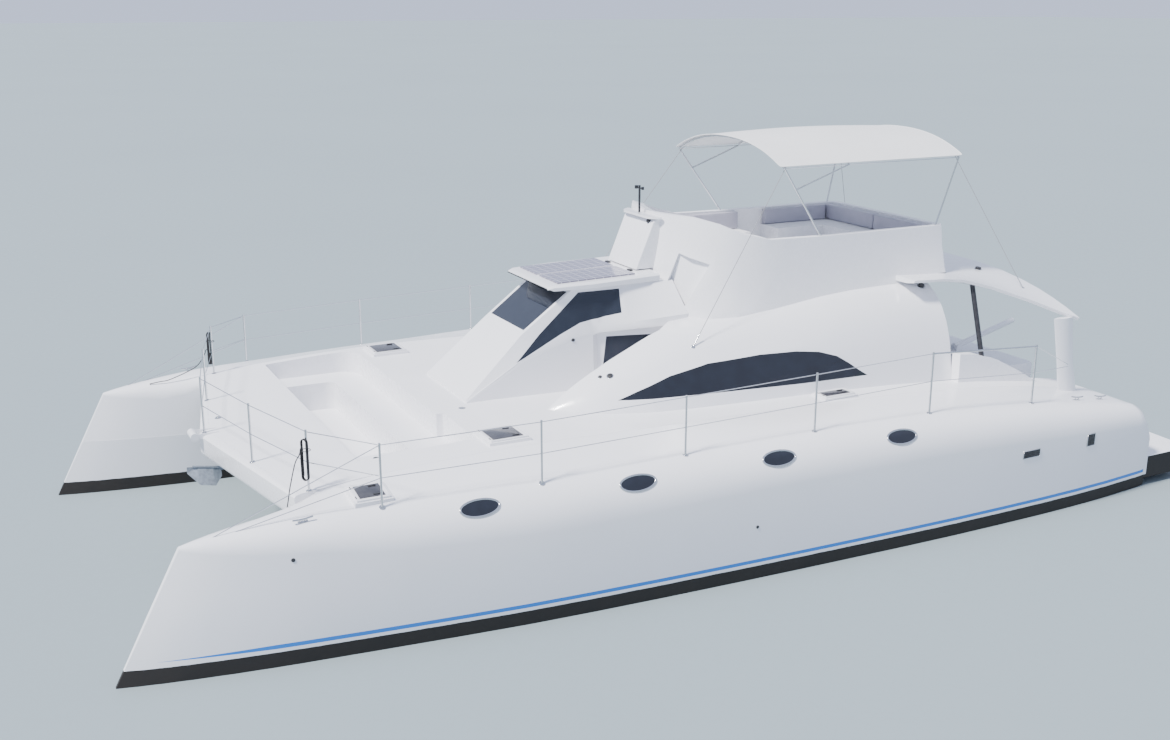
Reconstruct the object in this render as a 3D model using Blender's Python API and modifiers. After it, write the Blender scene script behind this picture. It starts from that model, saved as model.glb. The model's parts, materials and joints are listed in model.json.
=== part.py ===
# Power catamaran, metres, bow toward -Y, port toward +X, +Z up.
# The origin is on the waterline, on the centreline, 7.3 m aft of the bows.
import bpy
import bmesh
from math import cos, pi, radians, sin
from mathutils import Matrix, Vector
from mathutils.bvhtree import BVHTree

# Driving dimensions
HULL_X = 3.03           # hull centreline from the boat's centreline
STEM_RAKE = 0.74        # the stem's top is this far behind its foot
TIP_Z = 1.41            # deck height at the bow tip
SEAM_HALF = 0.41        # hull centreline to the seam with the bridge deck
LEDGE_Z = 0.755         # ledge inside each hull that carries the bridge deck
TUNNEL_Z = 0.76         # underside of the bridge deck
SALOON_FLOOR = 0.90
COCKPIT_FLOOR = 1.0
GAP = 0.0004            # between pieces that touch

# Hull stations: y, keel z, waterline half-beam, side half-beam, gunwale corner z,
# inner deck z, gunwale radius, inner edge radius
HULL_TABLE = [
    (-7.25, -0.10, 0.020, 0.035, 1.42, 1.42, 0.030, 0.030),
    (-7.05, -0.26, 0.070, 0.095, 1.45, 1.45, 0.085, 0.085),
    (-6.60, -0.44, 0.160, 0.200, 1.50, 1.50, 0.180, 0.170),
    (-5.95, -0.57, 0.265, 0.310, 1.55, 1.55, 0.280, 0.250),
    (-5.40, -0.62, 0.335, 0.385, 1.575, 1.59, 0.330, 0.150),
    (-5.10, -0.64, 0.365, 0.420, 1.57, 1.62, 0.350, 0.004),
    (-4.40, -0.66, 0.440, 0.500, 1.545, 1.69, 0.400, 0.003),
    (-2.60, -0.69, 0.620, 0.660, 1.535, 1.765, 0.440, 0.003),
    (-0.75, -0.70, 0.710, 0.740, 1.60, 1.73, 0.460, 0.003),
    (1.10, -0.70, 0.760, 0.785, 1.635, 1.70, 0.460, 0.003),
    (3.00, -0.68, 0.795, 0.800, 1.61, 1.645, 0.450, 0.003),
    (4.75, -0.62, 0.765, 0.770, 1.485, 1.525, 0.400, 0.003),
    (6.00, -0.52, 0.690, 0.700, 1.335, 1.36, 0.330, 0.003),
    (6.45, -0.46, 0.640, 0.650, 1.275, 1.29, 0.300, 0.003),
    (6.74, -0.43, 0.610, 0.615, 1.20, 1.21, 0.260, 0.003),
    (6.85, -0.42, 0.590, 0.595, 1.05, 1.06, 0.240, 0.003),
    (6.91, -0.41, 0.575, 0.580, 0.86, 0.87, 0.200, 0.003),
]
HULL_STATIONS = [-7.25, -7.05, -6.8, -6.5, -6.1, -5.7, -5.4, -5.1, -4.7, -4.2, -3.6, -2.9, -2.1,
                 -1.2, -0.3, 0.6, 1.5, 2.4, 3.2, 4.0, 4.75, 5.4, 6.0, 6.45, 6.64, 6.74, 6.85, 6.91]
SKEW_END = -4.2         # the raked stem and the V front fade out here

PARTS = bpy.data.collections.new("power_catamaran")


def clear_scene():
    for obj in list(bpy.data.objects):
        bpy.data.objects.remove(obj, do_unlink=True)
    bpy.context.scene.collection.children.link(PARTS)


def material(name, colour, roughness=0.4, metallic=0.0):
    made = bpy.data.materials.new(name)
    made.use_nodes = True
    shader = made.node_tree.nodes["Principled BSDF"]
    shader.inputs["Base Color"].default_value = (*colour, 1.0)
    shader.inputs["Roughness"].default_value = roughness
    shader.inputs["Metallic"].default_value = metallic
    return made


clear_scene()
GELCOAT = material("white_gelcoat", (0.86, 0.87, 0.91), 0.22)
GLASS = material("dark_glass", (0.02, 0.03, 0.06), 0.08)
STEEL = material("stainless_steel", (0.62, 0.63, 0.65), 0.22, 1.0)
CANVAS = material("white_canvas", (0.88, 0.88, 0.88), 0.8)
PADDING = material("grey_upholstery", (0.52, 0.51, 0.58), 0.6)
BLACK = material("black_paint", (0.02, 0.02, 0.025), 0.35)
BRONZE = material("bronze", (0.55, 0.38, 0.18), 0.35, 1.0)
SOLAR = material("solar_cells", (0.20, 0.19, 0.27), 0.25)
ROPE = material("black_rope", (0.02, 0.02, 0.02), 0.85)
TEAK = material("pale_wood", (0.45, 0.30, 0.17), 0.5)


# Tables, sections and meshes

def smooth_row(table, y):
    """The table's row at y, on smooth curves that never overshoot their points."""
    ys = [row[0] for row in table]
    y = min(max(y, ys[0]), ys[-1])
    low = max(i for i in range(len(ys) - 1) if ys[i] <= y)
    span = ys[low + 1] - ys[low]
    t = (y - ys[low]) / span
    row = []
    for column in range(1, len(table[0])):
        values = [r[column] for r in table]

        def slope(i):
            if i in (0, len(ys) - 1):
                j = min(i, len(ys) - 2)
                return (values[j + 1] - values[j]) / (ys[j + 1] - ys[j])
            before = (values[i] - values[i - 1]) / (ys[i] - ys[i - 1])
            after = (values[i + 1] - values[i]) / (ys[i + 1] - ys[i])
            if before * after <= 0:
                return 0.0
            return 2 * before * after / (before + after)

        a, b = values[low], values[low + 1]
        da, db = slope(low) * span, slope(low + 1) * span
        row.append(a + da * t + (3 * (b - a) - 2 * da - db) * t ** 2
                   + (2 * (a - b) + da + db) * t ** 3)
    return row


def line_value(points, x):
    """Straight-line reading of a list of (x, value) pairs."""
    if x <= points[0][0]:
        return points[0][1]
    for (x0, v0), (x1, v1) in zip(points, points[1:]):
        if x <= x1:
            return v0 + (v1 - v0) * (x - x0) / (x1 - x0)
    return points[-1][1]


def rounded(corners, closed=True):
    """2D outline from corners (a, b, radius, steps); a corner with 0 steps stays sharp."""
    points = []
    count = len(corners)
    for i, (a, b, radius, steps) in enumerate(corners):
        here = Vector((a, b))
        if steps == 0 or (not closed and i in (0, count - 1)):
            points.append(here)
            continue
        back = Vector(corners[i - 1][:2]) - here
        ahead = Vector(corners[(i + 1) % count][:2]) - here
        reach = min(radius, back.length * 0.47, ahead.length * 0.47)
        start = here + back.normalized() * reach
        end = here + ahead.normalized() * reach
        for step in range(steps + 1):
            t = step / steps
            w = 2 * t * (1 - t) * 0.83
            p = (start * (1 - t) ** 2 + end * t ** 2 + here * w) / ((1 - t) ** 2 + t ** 2 + w)
            points.append(p)
    return points


def new_object(name, mesh, finish):
    mesh.materials.append(finish)
    obj = bpy.data.objects.new(name, mesh)
    PARTS.objects.link(obj)
    return obj


def finish_bmesh(name, bm, finish, smooth=35):
    bmesh.ops.recalc_face_normals(bm, faces=bm.faces)
    mesh = bpy.data.meshes.new(name)
    bm.to_mesh(mesh)
    bm.free()
    mesh.shade_smooth()
    mesh.set_sharp_from_angle(angle=radians(smooth))
    return new_object(name, mesh, finish)


def loft(name, sections, finish):
    """Closed solid through closed sections that have the same number of points."""
    bm = bmesh.new()
    rings = [[bm.verts.new(p) for p in section] for section in sections]
    count = len(rings[0])
    for ring, following in zip(rings, rings[1:]):
        for i in range(count):
            j = (i + 1) % count
            bm.faces.new((ring[i], ring[j], following[j], following[i]))
    bm.faces.new(rings[0])
    bm.faces.new(rings[-1])
    bm.normal_update()
    bmesh.ops.triangulate(bm, faces=bm.faces)
    return finish_bmesh(name, bm, finish)


def prism(name, outline, axis, low, high, finish, bevel=0.0):
    """Flat outline made solid between low and high along an axis; it holds the other two coordinates."""
    curve = bpy.data.curves.new(name, "CURVE")
    curve.dimensions = "2D"
    curve.fill_mode = "BOTH"
    curve.extrude = (high - low) / 2
    spline = curve.splines.new("POLY")
    spline.points.add(len(outline) - 1)
    for point, (a, b) in zip(spline.points, outline):
        point.co = (a, b, 0.0, 1.0)
    spline.use_cyclic_u = True
    curve.materials.append(finish)
    flat = bpy.data.objects.new(name, curve)
    PARTS.objects.link(flat)
    first, second, depth = {"x": (1, 2, 0), "y": (0, 2, 1), "z": (0, 1, 2)}[axis]
    turn = Matrix([[0.0] * 4 for _ in range(4)])
    turn[first][0] = turn[second][1] = turn[depth][2] = turn[3][3] = 1.0
    turn[depth][3] = (low + high) / 2
    obj = bake(flat)
    obj.data.transform(turn)
    if axis == "y":
        obj.data.flip_normals()
    if bevel:
        round_edges(obj, bevel)
    return obj


def box(name, low, high, finish, bevel=0.0):
    low, high = Vector(low), Vector(high)
    size = Matrix.Diagonal((*(high - low), 1.0))
    bm = bmesh.new()
    bmesh.ops.create_cube(bm, size=1.0, matrix=Matrix.Translation((low + high) / 2) @ size)
    obj = finish_bmesh(name, bm, finish)
    if bevel:
        round_edges(obj, bevel)
    return obj


def bake(obj):
    """Apply an object's modifiers and its place."""
    depsgraph = bpy.context.evaluated_depsgraph_get()
    mesh = bpy.data.meshes.new_from_object(obj.evaluated_get(depsgraph))
    mesh.transform(obj.matrix_world)
    if obj.type == "CURVE":
        name = obj.name
        finish = obj.data.materials[0]
        bpy.data.objects.remove(obj)
        bm = bmesh.new()
        bm.from_mesh(mesh)
        bpy.data.meshes.remove(mesh)
        bmesh.ops.remove_doubles(bm, verts=bm.verts, dist=0.00005)
        return finish_bmesh(name, bm, finish)
    obj.modifiers.clear()
    obj.data = mesh
    obj.matrix_world = Matrix()
    return obj


def round_edges(obj, width, segments=2, angle=30):
    bevel = obj.modifiers.new("rounded_edges", "BEVEL")
    bevel.width = width
    bevel.segments = segments
    bevel.limit_method = "ANGLE"
    bevel.angle_limit = radians(angle)
    return bake(obj)


def boolean(obj, others, operation="DIFFERENCE"):
    """Cut or join the others into obj; they are used up."""
    for other in others:
        bpy.context.view_layer.update()
        step = obj.modifiers.new("step", "BOOLEAN")
        step.operation = operation
        step.solver = "EXACT"
        step.object = other
        bake(obj)
        bpy.data.objects.remove(other)
    return obj


def copy_of(obj, name):
    other = bpy.data.objects.new(name, obj.data.copy())
    PARTS.objects.link(other)
    return other


def mirrored(obj, name):
    """The same piece on the starboard side."""
    mesh = obj.data.copy()
    mesh.transform(Matrix.Scale(-1, 4, (1, 0, 0)))
    mesh.flip_normals()
    other = bpy.data.objects.new(name, mesh)
    PARTS.objects.link(other)
    return other


def tube(name, points, radius, finish, sides=8, closed=False):
    """Round bar along straight runs, as a closed mesh."""
    curve = bpy.data.curves.new(name, "CURVE")
    curve.dimensions = "3D"
    curve.bevel_depth = radius
    curve.bevel_resolution = (sides - 4) // 2
    curve.use_fill_caps = True
    spline = curve.splines.new("POLY")
    spline.points.add(len(points) - 1)
    for point, place in zip(spline.points, points):
        point.co = (*place, 1.0)
    spline.use_cyclic_u = closed
    curve.materials.append(finish)
    obj = bpy.data.objects.new(name, curve)
    PARTS.objects.link(obj)
    bpy.context.view_layer.update()
    return bake(obj)


def smooth_path(points, steps):
    """Points on a smooth curve through the given ones."""
    pts = [2 * points[0] - points[1]] + points + [2 * points[-1] - points[-2]]
    path = []
    for a, b, c, d in zip(pts, pts[1:], pts[2:], pts[3:]):
        for step in range(steps):
            t = step / steps
            path.append(0.5 * (2 * b + (c - a) * t + (2 * a - 5 * b + 4 * c - d) * t * t
                               + (3 * b - a - 3 * c + d) * t ** 3))
    path.append(points[-1])
    return path


def cylinder(name, centre, radius, depth, axis, finish, sides=16, radius2=None):
    bm = bmesh.new()
    turn = Vector((0, 0, 1)).rotation_difference(Vector(axis)).to_matrix().to_4x4()
    bmesh.ops.create_cone(bm, cap_ends=True, segments=sides, radius1=radius,
                          radius2=radius if radius2 is None else radius2, depth=depth,
                          matrix=Matrix.Translation(centre) @ turn)
    return finish_bmesh(name, bm, finish)


# Hulls

def stem_shift(y, z):
    """The sections lean back with the stem, less and less toward the foredeck."""
    fade = max(0.0, (SKEW_END - y) / (SKEW_END + 7.25)) ** 1.3
    return z / TIP_Z * STEM_RAKE * fade


def seam_half(y):
    return min(smooth_row(HULL_TABLE, y)[2], SEAM_HALF)


def deck_z(y):
    return smooth_row(HULL_TABLE, y)[4]


def hull_section(y, grow=0.0):
    keel, water, side, corner_z, inner_z, radius, inner_radius = smooth_row(HULL_TABLE, y)
    seam = min(side, SEAM_HALF)
    bilge = keel * 0.55
    inner_water = max(water, seam + 0.002)
    corners = [
        (0, keel - grow, 0.12, 2),
        (water * 0.93 + grow, bilge - grow, 0.30, 3),
        (side + grow, 0.55, 0.30, 2),
        (side + grow, corner_z + grow, radius, 6),
        (-seam - grow, inner_z + grow, inner_radius, 4),
        (-seam - grow, LEDGE_Z + grow, 0, 0),
        (-inner_water - grow, LEDGE_Z + grow, 0, 0),
        (-water * 0.93 - grow, bilge - grow, 0.30, 3),
    ]
    return [(HULL_X + u, y + stem_shift(y, z), z) for u, z in rounded(corners)]


def build_hull(name, grow=0.0):
    return loft(name, [hull_section(y, grow) for y in HULL_STATIONS], GELCOAT)


hull_port = build_hull("hull_port")

# Transom step: a low platform behind each hull, black below
STEP_TOP_Z = 0.45
step_outline = rounded([(HULL_X - 0.54, 6.8, 0, 0), (HULL_X + 0.57, 6.8, 0, 0),
                        (HULL_X + 0.55, 7.80, 0.16, 3), (HULL_X - 0.52, 7.86, 0.16, 3)])
stern_step = prism("stern_step", step_outline, "z", 0.12, STEP_TOP_Z, GELCOAT)
boolean(hull_port, [stern_step], "UNION")

# Bridge deck: foredeck, well, saloon floor and cockpit in one moulding
LIP_CENTRE_Y = -5.72
LIP_SIDE_Y = -5.20
# Bridge deck stations: y, top z below the deck line, underside z
LIP_ROWS = [(LIP_CENTRE_Y, 0.035, 1.37), (-5.69, 0.010, 1.32), (-5.6, 0.0, 1.275), (-5.35, 0.0, 1.20)]
DECK_STATIONS = [-5.1, -4.7, -4.2, -3.6, -2.9, -2.1, -1.2, -0.3, 0.6, 1.5, 2.4, 3.2, 4.0, 4.75,
                 5.4, 6.0, 6.45, 6.64]
UNDERSIDE = [(-5.35, 1.20), (-5.1, 1.10), (-4.7, 0.93), (-4.2, 0.80), (-3.6, TUNNEL_Z), (7, TUNNEL_Z)]


def bridge_section(y, drop, underside):
    skew_share = max(0.0, (SKEW_END - y) / (SKEW_END - LIP_CENTRE_Y))
    edge_y = y + (LIP_SIDE_Y - LIP_CENTRE_Y) * skew_share
    half = HULL_X - seam_half(edge_y) - GAP - 0.004 * skew_share
    top = deck_z(edge_y) - drop
    loop = []
    for share, z in ((1, top), (0, top), (-1, top), (-1, underside), (0, underside), (1, underside)):
        loop.append((half * share, y + (edge_y - y) * abs(share), z))
    return loop


def bridge_sections():
    rows = LIP_ROWS + [(y, 0.0, line_value(UNDERSIDE, y)) for y in DECK_STATIONS]
    return [bridge_section(*row) for row in rows]


bridge_deck = loft("bridge_deck", bridge_sections(), GELCOAT)

# Forward well: benches at seat height along starboard and aft, a foot well, a step to port
WELL = dict(starboard=-2.50, port=1.02, front=-4.32, aft=-2.98, seat_z=1.45, floor_z=1.05)
WELL_STEP_X = 2.12
FOOT_WELL = dict(starboard=-2.04, port=1.30, front=-4.32, aft=-3.44)
well_outline = rounded([
    (WELL["starboard"], WELL["front"], 0.03, 2), (WELL_STEP_X, WELL["front"], 0.03, 2),
    (WELL_STEP_X, -2.88, 0.05, 2), (WELL["port"], -2.88, 0.03, 2),
    (WELL["port"], WELL["aft"], 0.02, 2), (WELL["starboard"], WELL["aft"], 0.34, 5)])
foot_outline = rounded([
    (FOOT_WELL["starboard"], FOOT_WELL["front"], 0.03, 2), (FOOT_WELL["port"], FOOT_WELL["front"], 0.03, 2),
    (FOOT_WELL["port"], FOOT_WELL["aft"], 0.05, 2), (FOOT_WELL["starboard"], FOOT_WELL["aft"], 0.16, 4)])
boolean(bridge_deck, [
    prism("well_cut", well_outline, "z", WELL["seat_z"], 2.2, GELCOAT),
    prism("foot_cut", foot_outline, "z", WELL["floor_z"], 2.0, GELCOAT)])

# Saloon floor and cockpit: open aft between the hulls
SALOON = dict(half=2.08, front=0.62, aft=4.3524)
COCKPIT = dict(half=2.10, front=4.35, aft=6.9)
boolean(bridge_deck, [
    box("saloon_cut", (-SALOON["half"], SALOON["front"], SALOON_FLOOR), (SALOON["half"], SALOON["aft"], 2.4),
        GELCOAT),
    prism("cockpit_cut", rounded([
        (-COCKPIT["half"], COCKPIT["front"], 0.15, 3), (COCKPIT["half"], COCKPIT["front"], 0.15, 3),
        (COCKPIT["half"], COCKPIT["aft"], 0, 0), (-COCKPIT["half"], COCKPIT["aft"], 0, 0)]),
        "z", COCKPIT_FLOOR, 2.2, GELCOAT)])


def deck_block(name):
    """Everything below the bridge deck's top, for cutting what stands on it."""
    sections = []
    for x, y, z in [section[1] for section in bridge_sections()]:
        top = z + GAP
        sections.append([(3.2, y, top), (-3.2, y, top), (-3.2, y, 0.0), (3.2, y, 0.0)])
    return loft(name, sections, GELCOAT)


# Coachroof: y, foot x, shoulder x, shoulder z
ROOF_TABLE = [
    (-1.70, 1.50, 1.44, 1.70),
    (-1.35, 1.80, 1.42, 1.94),
    (-1.00, 1.99, 1.40, 2.13),
    (-0.40, 2.14, 1.33, 2.38),
    (0.33, 2.20, 1.20, 2.62),
    (1.00, 2.22, 1.25, 2.70),
    (2.00, 2.22, 1.34, 2.80),
    (3.00, 2.22, 1.40, 2.88),
    (4.40, 2.20, 1.42, 2.90),
]
ROOF_STATIONS = [-1.70, -1.52, -1.35, -1.18, -1.0, -0.7, -0.4, -0.05, 0.33, 0.7, 1.1, 1.6, 2.1, 2.6, 3.1, 3.6,
                 4.0, 4.40]
ROOF_FOOT_Z = 1.30
ROOF_STEPS = 8
BULKHEAD_Y = 4.40


def roof_side(y, inset=0.0):
    """Side of the coachroof from its foot to its shoulder, port side."""
    foot_x, top_x, top_z = smooth_row(ROOF_TABLE, y)
    foot = Vector((foot_x - inset, ROOF_FOOT_Z))
    top = Vector((top_x - inset * 0.4, top_z - inset))
    bend = Vector((foot_x - inset - 0.02, ROOF_FOOT_Z + (top_z - ROOF_FOOT_Z) * 0.86 - inset * 0.3))
    side = []
    for step in range(ROOF_STEPS + 1):
        t = step / ROOF_STEPS
        side.append(foot * (1 - t) ** 2 + bend * 2 * t * (1 - t) + top * t * t)
    return side


def roof_sections(inset=0.0, front=-99.0, aft=99.0):
    sections = []
    for y in [max(front, min(aft, y)) for y in ROOF_STATIONS if front - 0.4 < y < aft + 0.4]:
        side = roof_side(y, inset)
        half = [(p.x, y, p.y) for p in side]
        sections.append(half + [(-x, y0, z) for x, y0, z in reversed(half)])
    return sections


def roof_solid(name, inset=0.0, front=-99.0, aft=99.0):
    return loft(name, roof_sections(inset, front, aft), GELCOAT)


coachroof = roof_solid("coachroof")

# Helm pod stations: y, foot half, wall half, wall top z, eyebrow half, eyebrow z, top half, top z
POD_TABLE = [
    (-2.46, 0.770, 0.765, 1.760, 0.760, 1.775, 0.740, 1.795),
    (-1.62, 0.790, 0.735, 2.200, 0.725, 2.260, 0.620, 2.540),
    (-0.86, 0.800, 0.735, 2.420, 0.725, 2.500, 0.640, 3.100),
    (-0.62, 0.810, 0.745, 2.460, 0.735, 2.560, 0.650, 3.100),
    (-0.54, 0.740, 0.700, 2.470, 0.770, 2.575, 0.650, 3.100),
    (-0.14, 0.880, 0.840, 2.500, 0.900, 2.620, 0.660, 3.100),
    (0.33, 1.050, 1.010, 2.550, 1.100, 2.690, 0.680, 3.100),
    (0.62, 1.090, 1.050, 2.560, 1.140, 2.710, 0.700, 3.100),
]
POD_FOOT_Z = 1.30


def pod_section(y, inset=0.0):
    row = [line_value([(r[0], r[i]) for r in POD_TABLE], y) for i in range(1, 8)]
    foot, wall, wall_z, brow, brow_z, top, top_z = row
    brow_low = wall_z + min(0.02, (brow_z - wall_z) * 0.5)
    half = [(foot - inset, POD_FOOT_Z), (wall - inset, wall_z), (brow - inset * 1.3, brow_low),
            (brow - inset * 1.3, brow_z - inset * 0.3), (top - inset, top_z - inset)]
    return [(x, y, z) for x, z in half] + [(-x, y, z) for x, z in reversed(half)]


def pod_solid(name, inset=0.0, front=-2.46, aft=0.62):
    stations = sorted({front, aft} | {row[0] for row in POD_TABLE if front < row[0] < aft})
    return loft(name, [pod_section(y, inset) for y in stations], GELCOAT)


# The gullies between the pod and the shoulders end in the coachroof's front
GULLY_EDGE = [(1.47, -2.2), (1.45, -1.72), (1.41, -1.35), (1.385, -1.0), (1.315, -0.4), (1.24, 0.12), (1.10, 0.33)]
gully = GULLY_EDGE + [(-x, y) for x, y in reversed(GULLY_EDGE)]
ROOF_CAVITY_FRONT = 0.66

# Crescent window outline on the coachroof's side, seen along X: y, z
CRESCENT = dict(fore=(-0.84, 1.885), aft=(2.90, 1.82))
CRESCENT_TOP = [(-0.61, 1.965), (-0.10, 2.125), (0.46, 2.225), (1.24, 2.262), (1.80, 2.25), (2.15, 2.21),
                (2.42, 2.13), (2.60, 2.02), (2.77, 1.90)]
CRESCENT_FOOT = [(1.85, 1.835), (0.95, 1.862), (0.0, 1.88)]
crescent = [CRESCENT["fore"]] + CRESCENT_TOP + [CRESCENT["aft"]] + CRESCENT_FOOT
crescent_middle = Vector((1.2, 2.03))


def crescent_prism(name, side, shrink=0.0, front=-9.0):
    outline = []
    for y, z in crescent:
        p = Vector((y, z))
        p += (crescent_middle - p).normalized() * shrink
        outline.append((max(p.x, front), p.y))
    low, high = sorted((side * 1.2, side * 2.6))
    return prism(name, outline, "x", low, high, GLASS)


GLASS_DEPTH = 0.03
saloon_glass = []
for side, name in ((1, "saloon_glass_port"), (-1, "saloon_glass_starboard")):
    glass = roof_solid(name, 0.0005)
    glass.data.materials[0] = GLASS
    boolean(glass, [crescent_prism("glass_outline", side, 0.0012)], "INTERSECT")
    boolean(glass, [roof_solid("glass_back", GLASS_DEPTH - 0.001)])
    saloon_glass.append(glass)

boolean(coachroof, [prism("gully_cut", gully, "z", 1.0, 3.6, GELCOAT),
                    roof_solid("roof_cavity", 0.07, front=ROOF_CAVITY_FRONT, aft=4.6),
                    pod_solid("pod_space", -GAP, aft=0.62 + GAP), deck_block("deck_under_roof")])
boolean(coachroof, [box("helm_passage", (-0.5, 0.5, 1.5), (0.5, 0.8, 2.55), GELCOAT)])
for side in (1, -1):
    pocket = crescent_prism("pocket", side)
    boolean(pocket, [roof_solid("pocket_back", GLASS_DEPTH)])
    opening = crescent_prism("opening", side, 0.05, front=ROOF_CAVITY_FRONT + 0.05)
    boolean(coachroof, [pocket, opening])

# Helm pod: hollow, windscreen and side windows cut through its wall
helm_pod = pod_solid("helm_pod")
SCREEN = [(-0.555, -1.555), (0.555, -1.555), (0.575, -0.93), (-0.575, -0.93)]
POD_SIDE_WINDOW = [(-1.74, 2.20), (-0.80, 3.045), (-0.19, 3.045), (-0.22, 2.74), (-0.80, 2.64)]
GULLY_WINDOW = [(-0.48, 1.90), (0.20, 1.90), (0.30, 2.44), (-0.42, 2.42)]


def window_cutter(name, kind, side, shrink=0.0):
    if kind == "screen":
        outline, axis, low, high = SCREEN, "z", 2.3, 3.3
    else:
        outline = POD_SIDE_WINDOW if kind == "pod" else GULLY_WINDOW
        axis = "x"
        low, high = sorted((side * 0.45, side * 1.5))
    middle = sum((Vector(p) for p in outline), Vector((0, 0))) / len(outline)
    shrunk = [Vector(p) + (middle - Vector(p)).normalized() * shrink for p in outline]
    return prism(name, [tuple(p) for p in shrunk], axis, low, high, GLASS)


boolean(helm_pod, [pod_solid("pod_cavity", 0.05, front=-2.0, aft=0.7), deck_block("deck_under_pod")])
POD_WINDOWS = [("windscreen", "screen", 1), ("pod_glass_port", "pod", 1), ("pod_glass_starboard", "pod", -1),
               ("gully_glass_port", "gully", 1), ("gully_glass_starboard", "gully", -1)]
pane_source = copy_of(helm_pod, "pane_source")
for name, kind, side in POD_WINDOWS:
    pane = copy_of(pane_source, name)
    pane.data.materials.clear()
    pane.data.materials.append(GLASS)
    boolean(pane, [window_cutter("pane_outline", kind, side, 0.001)], "INTERSECT")
    boolean(helm_pod, [window_cutter("pane_hole", kind, side)])
bpy.data.objects.remove(pane_source)

# Helm roof with its two solar panels
POD_TOP_Z = 3.10
# y, half width, underside z, top z
HELM_ROOF = [(-1.25, 0.66, 3.135, 3.150), (-1.17, 0.69, POD_TOP_Z + GAP, 3.175),
             (-0.60, 0.74, POD_TOP_Z + GAP, 3.187), (0.42, 0.70, POD_TOP_Z + GAP, 3.208)]
roof_rows = []
for y, half, low, high in HELM_ROOF:
    roof_rows.append([(half, y, low), (half + 0.01, y, high - 0.03), (half - 0.02, y, high), (-half + 0.02, y, high),
                      (-half - 0.01, y, high - 0.03), (-half, y, low)])
helm_roof = loft("helm_roof", roof_rows, GELCOAT)


def roof_top(y):
    return line_value([(row[0], row[3]) for row in HELM_ROOF], y) + GAP


for side, name in ((1, "solar_panel_port"), (-1, "solar_panel_starboard")):
    near, far = side * 0.035, side * 0.61
    rows = [[(near, y, roof_top(y)), (far, y, roof_top(y)), (far, y, roof_top(y) + 0.018),
             (near, y, roof_top(y) + 0.018)] for y in (-1.08, 0.085)]
    loft(name, rows, SOLAR)

# Flybridge: a tub on the coachroof, high at the front, with a fairing for its console
# Half outline from the front centre aft: foot x, foot y, top x, top y
FLY_OUTLINE = [
    (0.00, 0.20, 0.00, 0.60), (0.45, 0.20, 0.42, 0.60), (0.68, 0.23, 0.56, 0.66), (1.12, 0.42, 0.86, 0.84),
    (1.42, 0.74, 1.12, 1.10), (1.55, 1.15, 1.27, 1.40), (1.585, 1.70, 1.33, 1.80), (1.59, 2.60, 1.35, 2.65),
    (1.59, 3.60, 1.35, 3.60), (1.59, 4.60, 1.35, 4.55), (1.58, 4.93, 1.34, 4.76), (1.48, 5.04, 1.25, 4.84),
    (0.00, 5.05, 0.00, 4.85),
]
FLY_TOP = [(0.60, 3.96), (0.84, 3.97), (1.10, 3.89), (1.40, 3.75), (1.80, 3.655), (2.65, 3.64), (5.1, 3.64)]
FLY_FOOT_Z = 2.40
FLY_FLOOR_Z = 3.02
FLY_AFT_Z = 2.95


def fly_ring(share, grow=0.0):
    """The tub's outline at a share of its height, with a slight hollow in its sides."""
    half = []
    for foot_x, foot_y, top_x, top_y in FLY_OUTLINE:
        top_z = line_value(FLY_TOP, top_y)
        flare = share + 0.18 * sin(pi * share)
        x = foot_x + (top_x - foot_x) * flare
        y = foot_y + (top_y - foot_y) * flare
        z = FLY_FOOT_Z + (top_z - FLY_FOOT_Z) * share
        y += -grow if y < 2.0 else grow
        half.append((x + (grow if foot_x > 0 else 0.0), y, z))
    return half + [(-x, y, z) for x, y, z in reversed(half[1:-1])]


def fly_solid(name, grow=0.0):
    return loft(name, [fly_ring(share, grow) for share in (0.0, 0.25, 0.5, 0.75, 1.0)], GELCOAT)


flybridge = fly_solid("flybridge")
FAIRING = dict(half=0.42, profile=[(0.20, 3.215), (0.47, 3.86), (0.53, 3.90), (0.80, 3.90), (0.80, 3.215)])
fairing = prism("fairing", FAIRING["profile"], "x", -FAIRING["half"], FAIRING["half"], GELCOAT, bevel=0.02)
boolean(flybridge, [fairing], "UNION")
# A climbing trough in the port diagonal face
TROUGH = [(0.77, 0.667, 3.47), (1.125, 0.95, 3.35), (0.98, 0.62, 2.67), (0.60, 0.50, 2.75)]
trough_way = Vector((-0.6, 0.8, 0))
trough = loft("trough", [[Vector(p) - trough_way * 0.25 for p in TROUGH], [Vector(p) + trough_way * 0.06 for p in TROUGH]],
              GELCOAT)
FLY_WELL = [(1.24, 4.74), (1.24, 1.50), (1.02, 1.12), (0.62, 0.92)]
well = rounded([(x, y, 0.12, 3) for x, y in FLY_WELL] + [(-x, y, 0.12, 3) for x, y in reversed(FLY_WELL)])
boolean(flybridge, [
    prism("fly_well", well, "z", FLY_FLOOR_Z, 4.5, GELCOAT),
    trough, roof_solid("roof_under_fly", -GAP), pod_solid("pod_under_fly", -GAP, aft=0.62 + GAP),
    box("helm_roof_space", (-0.78, -0.3, 2.9), (0.78, 0.42 + GAP, 3.2125), GELCOAT),
    box("behind_bulkhead", (-2, 4.4 - 0.001, 2.0), (2, 5.4, FLY_AFT_Z), GELCOAT)])

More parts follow.
